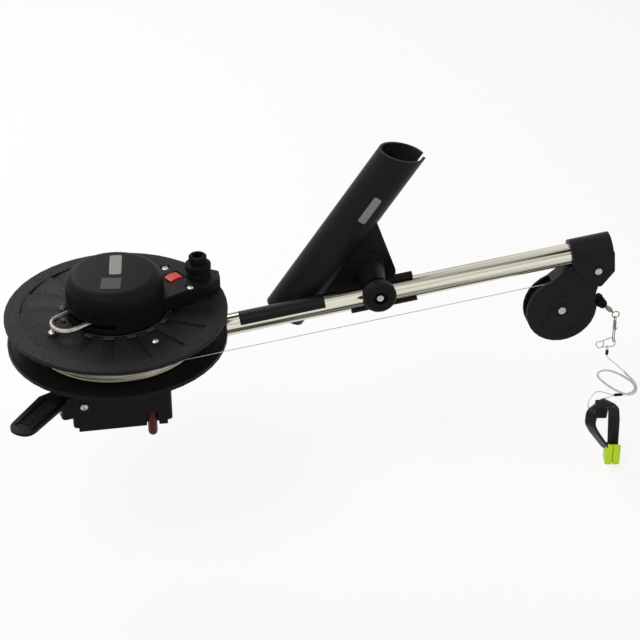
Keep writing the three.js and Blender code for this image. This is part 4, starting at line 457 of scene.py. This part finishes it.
def keep_wire(name, line, diameter_mm, finish, body, roundness=2):
    """A round wire or bead that rides on a body."""
    wire = cord_curve(name, line, diameter_mm, roundness)
    wire.data.materials.append(finish)
    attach(wire, body)
    return wire


bodies = frame["record"]["behaviour"]["bodies"]
body_of_node = {node: body for body, members in bodies.items() for node in members}


def dress(node, finish):
    """A merged copy of a solid, shaded by its creases, which stands for that solid."""
    shape = bmesh.new()
    shape.from_mesh(nodes[node].data)
    bmesh.ops.remove_doubles(shape, verts=shape.verts, dist=MERGE)
    bmesh.ops.dissolve_limit(shape, angle_limit=FLAT, verts=shape.verts, edges=shape.edges)
    piece = keep_mesh(node + "_dressed", shape, finish, body_of_node[node])
    # A solid may bring its own flat normals, which would hide the smooth ones.
    custom = piece.data.attributes.get("custom_normal")
    if custom is not None:
        piece.data.attributes.remove(custom)
    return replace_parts(piece, node)


# %% Which solid has which finish
FINISH_OF = [
    (base_nylon, "black_plastic", [
        "foot_plate", "base_housing", "motor_base", "arm_nose", "brake_ring", "spool_body", "latch_lever",
        "clamp_upper", "clamp_lower", "clamp_knob"]),
    (spool_nylon, "black_plastic", ["spool_upper_flange"]),
    (pulley_acetal, "black_plastic", [
        "rod_holder", "end_cap", "pulley_housing_near", "pulley_housing_far", "pulley_wheel", "release_strap",
        "leader_crimp", "bridle_crimp"]),
    (soft_rubber, "black_rubber", ["power_socket", "cable_stop"]),
    (screw_steel, "stainless", [
        "spindle", "thrust_washer", "spindle_nut", "motor", "arm_screw_1", "arm_screw_2", "base_screw_front",
        "base_screw_rear", "flange_screw_1", "flange_screw_2", "flange_screw_3", "flange_screw_4",
        "lower_bearing", "upper_bearing", "drive_gear", "motor_pinion", "clamp_bolt", "cap_bolt",
        "pulley_axle", "lever_pin"]),
    (rod_steel, "stainless", ["brake_lever"]),
    (snap_brass, "brass_wire", ["swivel", "swivel_ring", "snap_link"]),
    (cable_steel, "cable_steel", ["leader_eye"]),
    (switch_abs, "red_plastic", ["up_switch"]),
    (pin_vinyl, "dark_red_plastic", ["lock_pin"]),
]
for finish, slot_name, names in FINISH_OF:
    for node_name in names:
        dress(node_name, finish)

# %% [markdown]
# ## The motor cover
# The cover is the part nearest to the eye, and a reflection shows every flat on it. So it is spun again from
# its outline with many more steps than the solid has: a straight wall, a generous rounded shoulder and a
# flat top. The outline is a chain of vertices, and one spin round the upright axis makes the shell.

# %% Motor cover
COVER_LOW, COVER_HIGH = box_of("motor_cover")
COVER_RADIUS = COVER_HIGH[1]
COVER_BOTTOM = COVER_LOW[2]
COVER_TOP = COVER_HIGH[2]
COVER_SHOULDER = 14.0
COVER_WALL = 3.0
COVER_LIP = 0.6
SHOULDER_STEPS = 10
SPIN_STEPS = 128


def chain(shape, points_mm):
    """A chain of vertices joined by edges, from points in millimetres."""
    made = [shape.verts.new(Vector(p) * MM) for p in points_mm]
    edges = [shape.edges.new(pair) for pair in zip(made, made[1:])]
    return made + edges


def shoulder(radius, top, bend):
    """Points round the cover's shoulder, from its wall up to its top."""
    turns = [math.pi / 2 * i / SHOULDER_STEPS for i in range(SHOULDER_STEPS + 1)]
    return [(radius - bend + bend * math.cos(t), 0.0, top - bend + bend * math.sin(t)) for t in turns]


cover = bmesh.new()
outside = [(COVER_RADIUS - COVER_LIP, 0.0, COVER_BOTTOM), (COVER_RADIUS, 0.0, COVER_BOTTOM + COVER_LIP),
           *shoulder(COVER_RADIUS, COVER_TOP, COVER_SHOULDER), (0.0, 0.0, COVER_TOP)]
INNER_RADIUS = COVER_RADIUS - COVER_WALL
INNER_TOP = COVER_TOP - COVER_WALL
inside = [(INNER_RADIUS, 0.0, COVER_BOTTOM),
          *shoulder(INNER_RADIUS, INNER_TOP, COVER_SHOULDER - COVER_WALL), (0.0, 0.0, INNER_TOP)]
outline = chain(cover, [*reversed(inside), *outside])
bmesh.ops.spin(cover, geom=outline, cent=(0, 0, 0), axis=(0, 0, 1), angle=2 * math.pi, steps=SPIN_STEPS,
               use_merge=True, use_duplicate=False)
bmesh.ops.remove_doubles(cover, verts=cover.verts, dist=MERGE)
cover_piece = keep_mesh("motor_cover_shell", cover, cover_abs, "frame")
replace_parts(cover_piece, "motor_cover")
print("motor cover faces:", len(cover_piece.data.polygons))

# %% [markdown]
# ## Bare plates on the cover and the rod holder
# Each is a thin film with rounded corners. A plate starts as a grid square, its corners are bevelled in
# plan, and it is pushed up by its thickness. The one on the rod holder is cut into strips, and bent to the
# tube's curve by moving each vertex onto the tube.

# %% Plates
PLATE_THICKNESS = 0.35
PLATE_CORNER_STEPS = 5


def film_plate(length_mm, width_mm, corner_mm, thickness_mm, cuts=0):
    """A thin plate about the origin, its corners rounded in plan, with cuts along it so that it can bend."""
    plate = bmesh.new()
    bmesh.ops.create_grid(plate, x_segments=1, y_segments=1, size=0.5)
    bmesh.ops.scale(plate, vec=(length_mm * MM, width_mm * MM, 1), verts=plate.verts)
    bmesh.ops.bevel(plate, geom=plate.verts[:], offset=corner_mm * MM, segments=PLATE_CORNER_STEPS,
                    profile=0.5, affect="VERTICES", clamp_overlap=True, material=-1)
    for i in range(cuts):
        at = (width_mm * (i + 1) / (cuts + 1) - width_mm / 2) * MM
        bmesh.ops.bisect_plane(plate, geom=plate.verts[:] + plate.edges[:] + plate.faces[:],
                               plane_co=(0, at, 0), plane_no=(0, 1, 0))
    raised = bmesh.ops.extrude_face_region(plate, geom=plate.faces[:])
    top = [v for v in raised["geom"] if isinstance(v, bmesh.types.BMVert)]
    bmesh.ops.translate(plate, vec=(0, 0, thickness_mm * MM), verts=top)
    return plate


# Each row: name, length, width, corner radius, centre, turn in degrees, finish.
COVER_PLATES = [
    ("cover_plate", 41.3, 13.6, 2.6, (3.5, 15.8), 84.2, plate_film),
    ("cover_patch", 22.1, 23.2, 0.6, (-4.6, -23.1), -9.4, grey_film),
]
for name, long_mm, wide_mm, corner, (x, y), turn, film in COVER_PLATES:
    plate = film_plate(long_mm, wide_mm, corner, PLATE_THICKNESS)
    turned = Matrix.Rotation(math.radians(turn), 4, "Z")
    moved = Matrix.Translation(Vector((x, y, COVER_TOP)) * MM)
    bmesh.ops.transform(plate, matrix=moved @ turned, verts=plate.verts)
    keep_mesh(name, plate, film, "frame")

# %% Plate on the rod holder
# The holder's axis: a point at its foot, and its direction.
HOLDER_FOOT = Vector((202.1, 68.0, 61.8)) * MM
HOLDER_LINE = Vector((0.5678, 0.0, 0.8231)).normalized()
HOLDER_LOW, HOLDER_HIGH = box_of("rod_holder")
HOLDER_RADIUS = (HOLDER_HIGH[1] - HOLDER_LOW[1]) / 2
HOLDER_PLATE_SIZE = (35.5, 9.8)
HOLDER_PLATE_CORNER = 2.2
HOLDER_PLATE_CUTS = 6
HOLDER_PLATE_ALONG = 170.5
HOLDER_PLATE_TURN = math.radians(-2.5)


def bend_round(film, foot, line, radius_mm, along_mm, turn):
    """Lays a flat film on a round bar: its length runs along the bar, its width bends round it."""
    side = line.cross(Vector((0, -1, 0))).normalized()
    front = side.cross(line).normalized()
    for vert in film.verts:
        along, across, up = vert.co
        angle = across / (radius_mm * MM) + turn
        outward = front * math.cos(angle) + side * math.sin(angle)
        vert.co = foot + line * (along_mm * MM + along) + outward * (radius_mm * MM + up)


holder_plate = film_plate(*HOLDER_PLATE_SIZE, HOLDER_PLATE_CORNER, PLATE_THICKNESS, HOLDER_PLATE_CUTS)
bend_round(holder_plate, HOLDER_FOOT, HOLDER_LINE, HOLDER_RADIUS, HOLDER_PLATE_ALONG, HOLDER_PLATE_TURN)
keep_mesh("holder_plate", holder_plate, plate_film, "holder")

# %% [markdown]
# ## The boom and its film
# The boom is a plain tube, but it is the brightest piece, and a low tube would show its flats as stripes.
# It is made again with more sides, from an open cone that is given the real wall thickness. A bare black
# film is bent over the tube's top and front, and leaves its underside bare.

# %% Boom and film
# The tube's ends, and the middle of the film, are measured along the axis from BOOM_START.
BOOM_FROM = -25.0
BOOM_TO = 585.0
BOOM_LOW, BOOM_HIGH = box_of("boom_tube")
BOOM_RADIUS = (BOOM_HIGH[1] - BOOM_LOW[1]) / 2
BOOM_WALL = 1.6
TUBE_SIDES = 96
FILM_LENGTH = 100.9
FILM_WIDTH = 29.7
FILM_CORNER = 1.0
FILM_THICKNESS = 0.2
FILM_CUTS = 30
FILM_MIDDLE = 194.8
FILM_TURN = math.radians(-83)
BOOM_LINE = Vector((math.cos(BOOM_SLOPE), 0, math.sin(BOOM_SLOPE)))


def boom_shell(start_mm, end_mm, radius_mm, wall_mm):
    """A tube on the boom's axis, between two distances from where that axis crosses the spindle's plane."""
    shell = bmesh.new()
    bmesh.ops.create_cone(shell, cap_ends=False, segments=TUBE_SIDES, radius1=radius_mm * MM,
                          radius2=radius_mm * MM, depth=(end_mm - start_mm) * MM)
    bmesh.ops.recalc_face_normals(shell, faces=shell.faces)
    bmesh.ops.solidify(shell, geom=shell.faces[:], thickness=wall_mm * MM)
    lay_down = Matrix.Rotation(math.pi / 2 - BOOM_SLOPE, 4, "Y")
    middle = BOOM_START + BOOM_LINE * (start_mm + end_mm) / 2 * MM
    bmesh.ops.transform(shell, matrix=Matrix.Translation(middle) @ lay_down, verts=shell.verts)
    return shell


boom = keep_mesh("boom_polished", boom_shell(BOOM_FROM, BOOM_TO, BOOM_RADIUS, BOOM_WALL),
                 boom_steel, "frame")
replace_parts(boom, "boom_tube")
boom_film = film_plate(FILM_LENGTH, FILM_WIDTH, FILM_CORNER, FILM_THICKNESS, FILM_CUTS)
bend_round(boom_film, BOOM_START, BOOM_LINE, BOOM_RADIUS, FILM_MIDDLE, FILM_TURN)
keep_mesh("boom_film", boom_film, wrap_film, "frame")

# %% [markdown]
# ## Ribs on the pulley housing
# Each half of the housing is a mould twin of the other. Its outer face carries part of a ring near the
# rim, a smaller ring round the axle and a curved rib between them. Each is a round bead, half sunk in the
# face.

# %% Ribs on the pulley housing
AXLE_LOW, AXLE_HIGH = box_of("pulley_axle")
AXLE_MIDDLE = Vector([(low + high) / 2 for low, high in zip(AXLE_LOW, AXLE_HIGH)])
HOUSING_LOW, _ = box_of("pulley_housing_near")
CHEEK_OUT = AXLE_MIDDLE.y - HOUSING_LOW[1]
RIB_WIRE = 2.0
RIB_SPAN_STEPS = 3
ARC_STEPS = 48
# Each ring: radius, and the angles where it starts and ends, in degrees.
RIM_RING = (32.0, 0, -120)
AXLE_RING = (9.0, 0, 360)
RIB_POINTS = [
    (6.8, 23.5), (4.5, 19.6), (0.0, 17.2), (-6.0, 16.0), (-10.6, 13.0), (-13.1, 9.1), (-14.6, 5.1),
    (-15.3, -0.7), (-15.6, -6.6), (-16.7, -11.2), (-19.7, -15.0), (-25.2, -20.3),
]


def arc_points(radius_mm, from_deg, to_deg):
    """Points of an arc about the axle, in the plane of the housing's face."""
    turns = [math.radians(from_deg + (to_deg - from_deg) * i / ARC_STEPS) for i in range(ARC_STEPS + 1)]
    return [(radius_mm * math.cos(turn), radius_mm * math.sin(turn)) for turn in turns]


RIBS = [("rim_ring", arc_points(*RIM_RING)), ("axle_ring", arc_points(*AXLE_RING)), ("rib", RIB_POINTS)]
for half, out in (("near", -1), ("far", 1)):
    for rib, flat_points in RIBS:
        points = [AXLE_MIDDLE + Vector((x, out * CHEEK_OUT, z)) for x, z in flat_points]
        keep_wire(f"housing_{rib}_{half}", smooth_line(points, RIB_SPAN_STEPS), RIB_WIRE,
                  pulley_acetal, "frame")

# %% [markdown]
# ## Block and pads of the release
# The block and the two pads hang with their fronts towards the viewer, so they are modelled again, turned
# about the vertical. The block is a cube that narrows to the back and to its foot. Each pad is a cube whose
# top falls away behind, where the strap's ends go in, and both have soft moulded edges.

# %% Block and pads
RELEASE_TURN = Matrix.Rotation(math.radians(-9.6), 4, "Z")
# The middle of the block, and the middle of the pair of pads.
BLOCK_PLACE = (590.9, 23.8, -97.4)
PADS_PLACE = (611.3, 24.4, -164.9)
BLOCK_SIZE = (15.7, 20.7, 15.1)
BLOCK_BACK_SHARE = 0.81
BLOCK_FOOT_SHARE = 0.86
PAD_SIZE = (9.2, 19.0, 31.0)
PAD_SEAM = 0.5
PAD_BACK_DROP = 12.0
SOFT_EDGE = 1.6
SOFT_STEPS = 4


def moulded_block(size, place, reshape):
    """A cube of the given size, reshaped corner by corner, with soft edges, turned and put in place."""
    form = bmesh.new()
    bmesh.ops.create_cube(form, size=1.0)
    bmesh.ops.scale(form, vec=Vector(size) * MM, verts=form.verts)
    for vert in form.verts:
        reshape(vert)
    bmesh.ops.bevel(form, geom=form.edges[:], offset=SOFT_EDGE * MM, segments=SOFT_STEPS, profile=0.5,
                    affect="EDGES", clamp_overlap=True, material=-1)
    moved = Matrix.Translation(Vector(place) * MM)
    bmesh.ops.transform(form, matrix=moved @ RELEASE_TURN, verts=form.verts)
    return form


def narrow_block(vert):
    """Narrows the block towards its back and its foot."""
    if vert.co.y > 0:
        vert.co.x *= BLOCK_BACK_SHARE
    if vert.co.z < 0:
        vert.co.x *= BLOCK_FOOT_SHARE


def lower_back(vert):
    """Lowers the back of a pad's top."""
    if vert.co.y > 0 and vert.co.z > 0:
        vert.co.z -= PAD_BACK_DROP * MM


block = keep_mesh("block_of_release", moulded_block(BLOCK_SIZE, BLOCK_PLACE, narrow_block),
                  spool_nylon, "tackle")
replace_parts(block, "release_block")
for side, node in ((-1, "release_pad_left"), (1, "release_pad_right")):
    aside = RELEASE_TURN @ Vector((side * (PAD_SIZE[0] + PAD_SEAM) / 2, 0, 0))
    pad = keep_mesh(f"soft_{node}", moulded_block(PAD_SIZE, Vector(PADS_PLACE) + aside, lower_back),
                    lime_silicone, "tackle")
    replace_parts(pad, node)

# %% [markdown]
# ## Tabs round the hub
# Sixteen low tabs stand round the motor base, and a thin bead closes the recess inside them. Each tab is a
# cube that is flattened and turned about the spool's axis, and then all of them are bevelled.

# %% Hub tabs
_, FLANGE_HIGH = box_of("spool_upper_flange")
TAB_COUNT = 16
TAB_RADIUS = 61.2
TAB_SIZE = (3.6, 10.2, 1.9)
TAB_SUNK = 0.4
TAB_EDGE = 0.35
TAB_EDGE_STEPS = 2
TAB_FOOT = FLANGE_HIGH[2] - TAB_SUNK
TAB_TOP = TAB_FOOT + TAB_SIZE[2]
HUB_BEAD_RADIUS = 58.7
HUB_BEAD_WIRE = 0.9
HUB_BEAD_STEPS = 160
tabs = bmesh.new()
for i in range(TAB_COUNT):
    one = bmesh.ops.create_cube(tabs, size=1.0)["verts"]
    bmesh.ops.scale(tabs, vec=Vector(TAB_SIZE) * MM, verts=one)
    bmesh.ops.translate(tabs, vec=Vector((TAB_RADIUS, 0, (TAB_FOOT + TAB_TOP) / 2)) * MM, verts=one)
    turn = Matrix.Rotation(2 * math.pi * (i + 0.5) / TAB_COUNT, 4, "Z")
    bmesh.ops.transform(tabs, matrix=turn, verts=one)
bmesh.ops.bevel(tabs, geom=tabs.edges[:], offset=TAB_EDGE * MM, segments=TAB_EDGE_STEPS, profile=0.5,
                affect="EDGES", clamp_overlap=True, material=-1)
keep_mesh("hub_tabs", tabs, paler_nylon, "spool")
hub_turns = [2 * math.pi * i / HUB_BEAD_STEPS for i in range(HUB_BEAD_STEPS + 1)]
hub_line = [Vector((HUB_BEAD_RADIUS * math.cos(turn), HUB_BEAD_RADIUS * math.sin(turn), TAB_TOP)) * MM
            for turn in hub_turns]
keep_wire("hub_bead", hub_line, HUB_BEAD_WIRE, paler_nylon, "spool")

# %% [markdown]
# ## The winding
# The solid carries a coarse winding. The real drum holds row upon row of cable that lie almost side by
# side, so two helices are laid: the outer one shows, and the inner one fills the slits between its turns.
# Each is a curve with a round bevel, like the cords, and rides on the spool.

# %% Winding
LAYER_LOW, LAYER_HIGH = box_of("cable_outer_layer")
LAYER_DEPTH = 2.0
WIND_RADIUS = LAYER_HIGH[0] - CABLE_MM / 2
WIND_MARGIN = 0.7
WIND_LOW = LAYER_LOW[2] + WIND_MARGIN
WIND_HIGH = LAYER_HIGH[2] - WIND_MARGIN
WIND_TURNS = 33
WIND_STEPS = 60


def helix(radius_mm, phase):
    """Points in metres up the drum, from a starting phase given in turns."""
    count = WIND_TURNS * WIND_STEPS
    line = []
    for i in range(count + 1):
        angle = 2 * math.pi * (i / WIND_STEPS + phase)
        height = WIND_LOW + (WIND_HIGH - WIND_LOW) * i / count
        line.append(Vector((radius_mm * math.cos(angle), radius_mm * math.sin(angle), height)) * MM)
    return line


# Each layer: name, radius, phase in turns, and the solid that it stands for.
WINDINGS = [
    ("winding_outer", WIND_RADIUS, 0.0, "cable_outer_layer"),
    ("winding_under", WIND_RADIUS - LAYER_DEPTH, 0.5, "cable_inner_layers"),
]
for name, radius, phase, node in WINDINGS:
    winding = keep_wire(name, helix(radius, phase), CABLE_MM, wound_steel, "spool",
                        roundness=1)
    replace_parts(winding, node)
print("turns on the drum:", WIND_TURNS, "pitch (mm):", round((WIND_HIGH - WIND_LOW) / WIND_TURNS, 3))

# %% [markdown]
# ## The bent wires of the tackle
# The snap is bent from one wire whose end is wrapped round both legs, and the clip below it is a double
# loop. The solids have plain links, so the clip is drawn again as one bent wire, and the wrap is a flat
# helix round the legs of the snap, with a short barb where its end stands out.

# %% Snap wrap and clip
# The foot of the snap. The clip, the wrap and the barb are all measured from it.
SNAP_FOOT = Vector((599.8, 28.0, -1.36))
CLIP_WIRE = 1.0
CLIP_STEPS = [
    (-12.4, 3.5), (-16.5, 2.3), (-20.4, 2.2), (-21.2, 0.2), (-19.8, -4.2), (-16.9, -6.9), (-13.6, -5.4),
    (-11.6, -1.7), (-12.4, 3.0), (-7.8, 5.2), (-3.3, 6.5), (0.4, 5.6), (2.9, -0.3), (1.6, -5.5), (-2.9, -6.1),
    (-7.0, -6.1), (-11.0, -5.9), (-13.6, -5.8),
]
clip_line = smooth_line([SNAP_FOOT + Vector((x, 0.0, z)) for x, z in CLIP_STEPS])
clip_wire = keep_wire("clip_wire", clip_line, CLIP_WIRE, snap_brass, "tackle")
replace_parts(clip_wire, "leader_clip")

WRAP_WIRE = 0.8
WRAP_LOW = 18.5
WRAP_HIGH = 30.5
WRAP_TURNS = 9
WRAP_ACROSS = 1.15
WRAP_ALONG = 3.9
WRAP_STEPS = 16
WRAP_COUNT = WRAP_TURNS * WRAP_STEPS
wrap_line = []
for i in range(WRAP_COUNT + 1):
    angle = 2 * math.pi * i / WRAP_STEPS
    rise = WRAP_LOW + (WRAP_HIGH - WRAP_LOW) * i / WRAP_COUNT
    step = Vector((WRAP_ACROSS * math.cos(angle), WRAP_ALONG * math.sin(angle), rise))
    wrap_line.append((SNAP_FOOT + step) * MM)
BARB_STEPS = [(0.9, 0.0, 18.5), (1.6, -0.4, 18.2), (2.6, -0.8, 19.6), (3.9, -1.2, 21.4)]
barb_line = smooth_line([SNAP_FOOT + Vector(step) for step in BARB_STEPS])
for name, line in (("snap_wrap", wrap_line), ("snap_barb", barb_line)):
    keep_wire(name, line, WRAP_WIRE, snap_brass, "tackle")

# %% [markdown]
# ## Finishes of the cords
# Each cord gets its finish. The cable is held taut by the brake, and everything below the swivel
# hangs from it.

CORD_FINISH = {
    "cable": (cable_steel, "cable_steel"),
    "wire_of_leader": (cable_steel, "cable_steel"),
    "sleeve_of_leader": (sleeve_vinyl, "sleeve_plastic"),
    "bridle": (cable_steel, "cable_steel"),
}
for name, (finish, slot_name) in CORD_FINISH.items():
    cords[name].data.materials.append(finish)

# %% [markdown]
# ## The studio
# A pale floor lies under the lowest point of the hanging release. Three broad lamps and an even sky light
# the object at a plain level, at which a colour renders about as it is written. Rays from the camera, from
# reflections and through clear parts all see the same white room.

# %% Floor
# The floor's side and its middle are in metres.
FLOOR_SIZE = 8.0
FLOOR_MIDDLE_X = 0.25
FLOOR_CELLS = 8
FLOOR_DROP_MM = 3.0
PAPER_FIBRE_MM = 3.0
# The share of white light that the paper gives off to the camera and in mirrors, so that it looks like the
# room behind it and still shows a shadow.
GLOW_SHARE = 0.8
floor_shape = bmesh.new()
bmesh.ops.create_grid(floor_shape, x_segments=FLOOR_CELLS, y_segments=FLOOR_CELLS, size=FLOOR_SIZE / 2)
floor_data = bpy.data.meshes.new("studio_floor")
floor_shape.to_mesh(floor_data)
floor_shape.free()
floor_data.transform(Matrix.Translation((FLOOR_MIDDLE_X, 0, cad_low.z - FLOOR_DROP_MM * MM)))
floor = bpy.data.objects.new("studio_floor", floor_data)
bpy.context.scene.collection.objects.link(floor)
paper = blank_finish("matt_paper")
paper_place = add_node(paper, "ShaderNodeTexCoord").outputs["Object"]
paper_fibre = add_node(paper, "ShaderNodeTexNoise", {
    "Vector": paper_place, "Scale": 1 / (PAPER_FIBRE_MM * MM), "Detail": 2.0})
paper_tone = add_node(paper, "ShaderNodeMix", {
    "Factor": paper_fibre.outputs["Fac"], "A": colour("f4f4f3"), "B": colour("fafaf9")}, data_type="RGBA")
paper_face = add_node(paper, "ShaderNodeBsdfPrincipled", {
    "Base Color": paper_tone.outputs["Result"], "Roughness": 0.9, "Specular IOR Level": 0.1})
paper_glow = add_node(paper, "ShaderNodeEmission", {"Color": colour("ffffff"), "Strength": 1.0})
paper_rays = add_node(paper, "ShaderNodeLightPath")
paper_seen = add_node(paper, "ShaderNodeMath", {
    0: paper_rays.outputs["Is Camera Ray"], 1: paper_rays.outputs["Is Glossy Ray"]}, operation="MAXIMUM")
paper_share = add_node(paper, "ShaderNodeMath", {
    0: paper_seen.outputs["Value"], 1: GLOW_SHARE}, operation="MULTIPLY")
paper_mix = add_node(paper, "ShaderNodeMixShader", {
    0: paper_share.outputs["Value"], 1: paper_face.outputs["BSDF"], 2: paper_glow.outputs["Emission"]})
add_node(paper, "ShaderNodeOutputMaterial", {"Surface": paper_mix.outputs["Shader"]})
floor_data.materials.append(paper)

# %% Lamps and sky
SKY_LIGHT = 0.42
# Each lamp: name, place and size in metres, power in watts. They all point at AIM.
LAMPS = [
    ("key", (-0.9, -0.9, 2.3), 1.2, 24.0),
    ("fill", (1.7, -1.2, 1.2), 1.6, 8.0),
    ("rim", (-0.5, 1.5, 1.3), 1.0, 16.0),
]
AIM = Vector((0.24, 0.0, 0.08))
for name, place, size, power in LAMPS:
    lamp_data = bpy.data.lights.new(name, "AREA")
    lamp_data.shape = "SQUARE"
    lamp_data.size = size
    lamp_data.energy = power
    lamp = bpy.data.objects.new(name, lamp_data)
    lamp.location = place
    lamp.rotation_euler = (AIM - Vector(place)).to_track_quat("-Z", "Y").to_euler()
    bpy.context.scene.collection.objects.link(lamp)

sky = bpy.data.worlds.new("white_room")
bpy.context.scene.world = sky
sky.use_nodes = True
sky.node_tree.nodes.clear()
rays = add_node(sky, "ShaderNodeLightPath")
seen = add_node(sky, "ShaderNodeMath", {
    0: rays.outputs["Is Camera Ray"], 1: rays.outputs["Is Transmission Ray"]}, operation="MAXIMUM")
mirrored = add_node(sky, "ShaderNodeMath", {
    0: seen.outputs["Value"], 1: rays.outputs["Is Glossy Ray"]}, operation="MAXIMUM")
level = add_node(sky, "ShaderNodeMapRange", {
    "Value": mirrored.outputs["Value"], "To Min": SKY_LIGHT, "To Max": 1.0})
room = add_node(sky, "ShaderNodeBackground", {
    "Color": colour("ffffff"), "Strength": level.outputs["Result"]})
add_node(sky, "ShaderNodeOutputWorld", {"Surface": room.outputs["Background"]})
bpy.context.scene.view_settings.view_transform = "Standard"
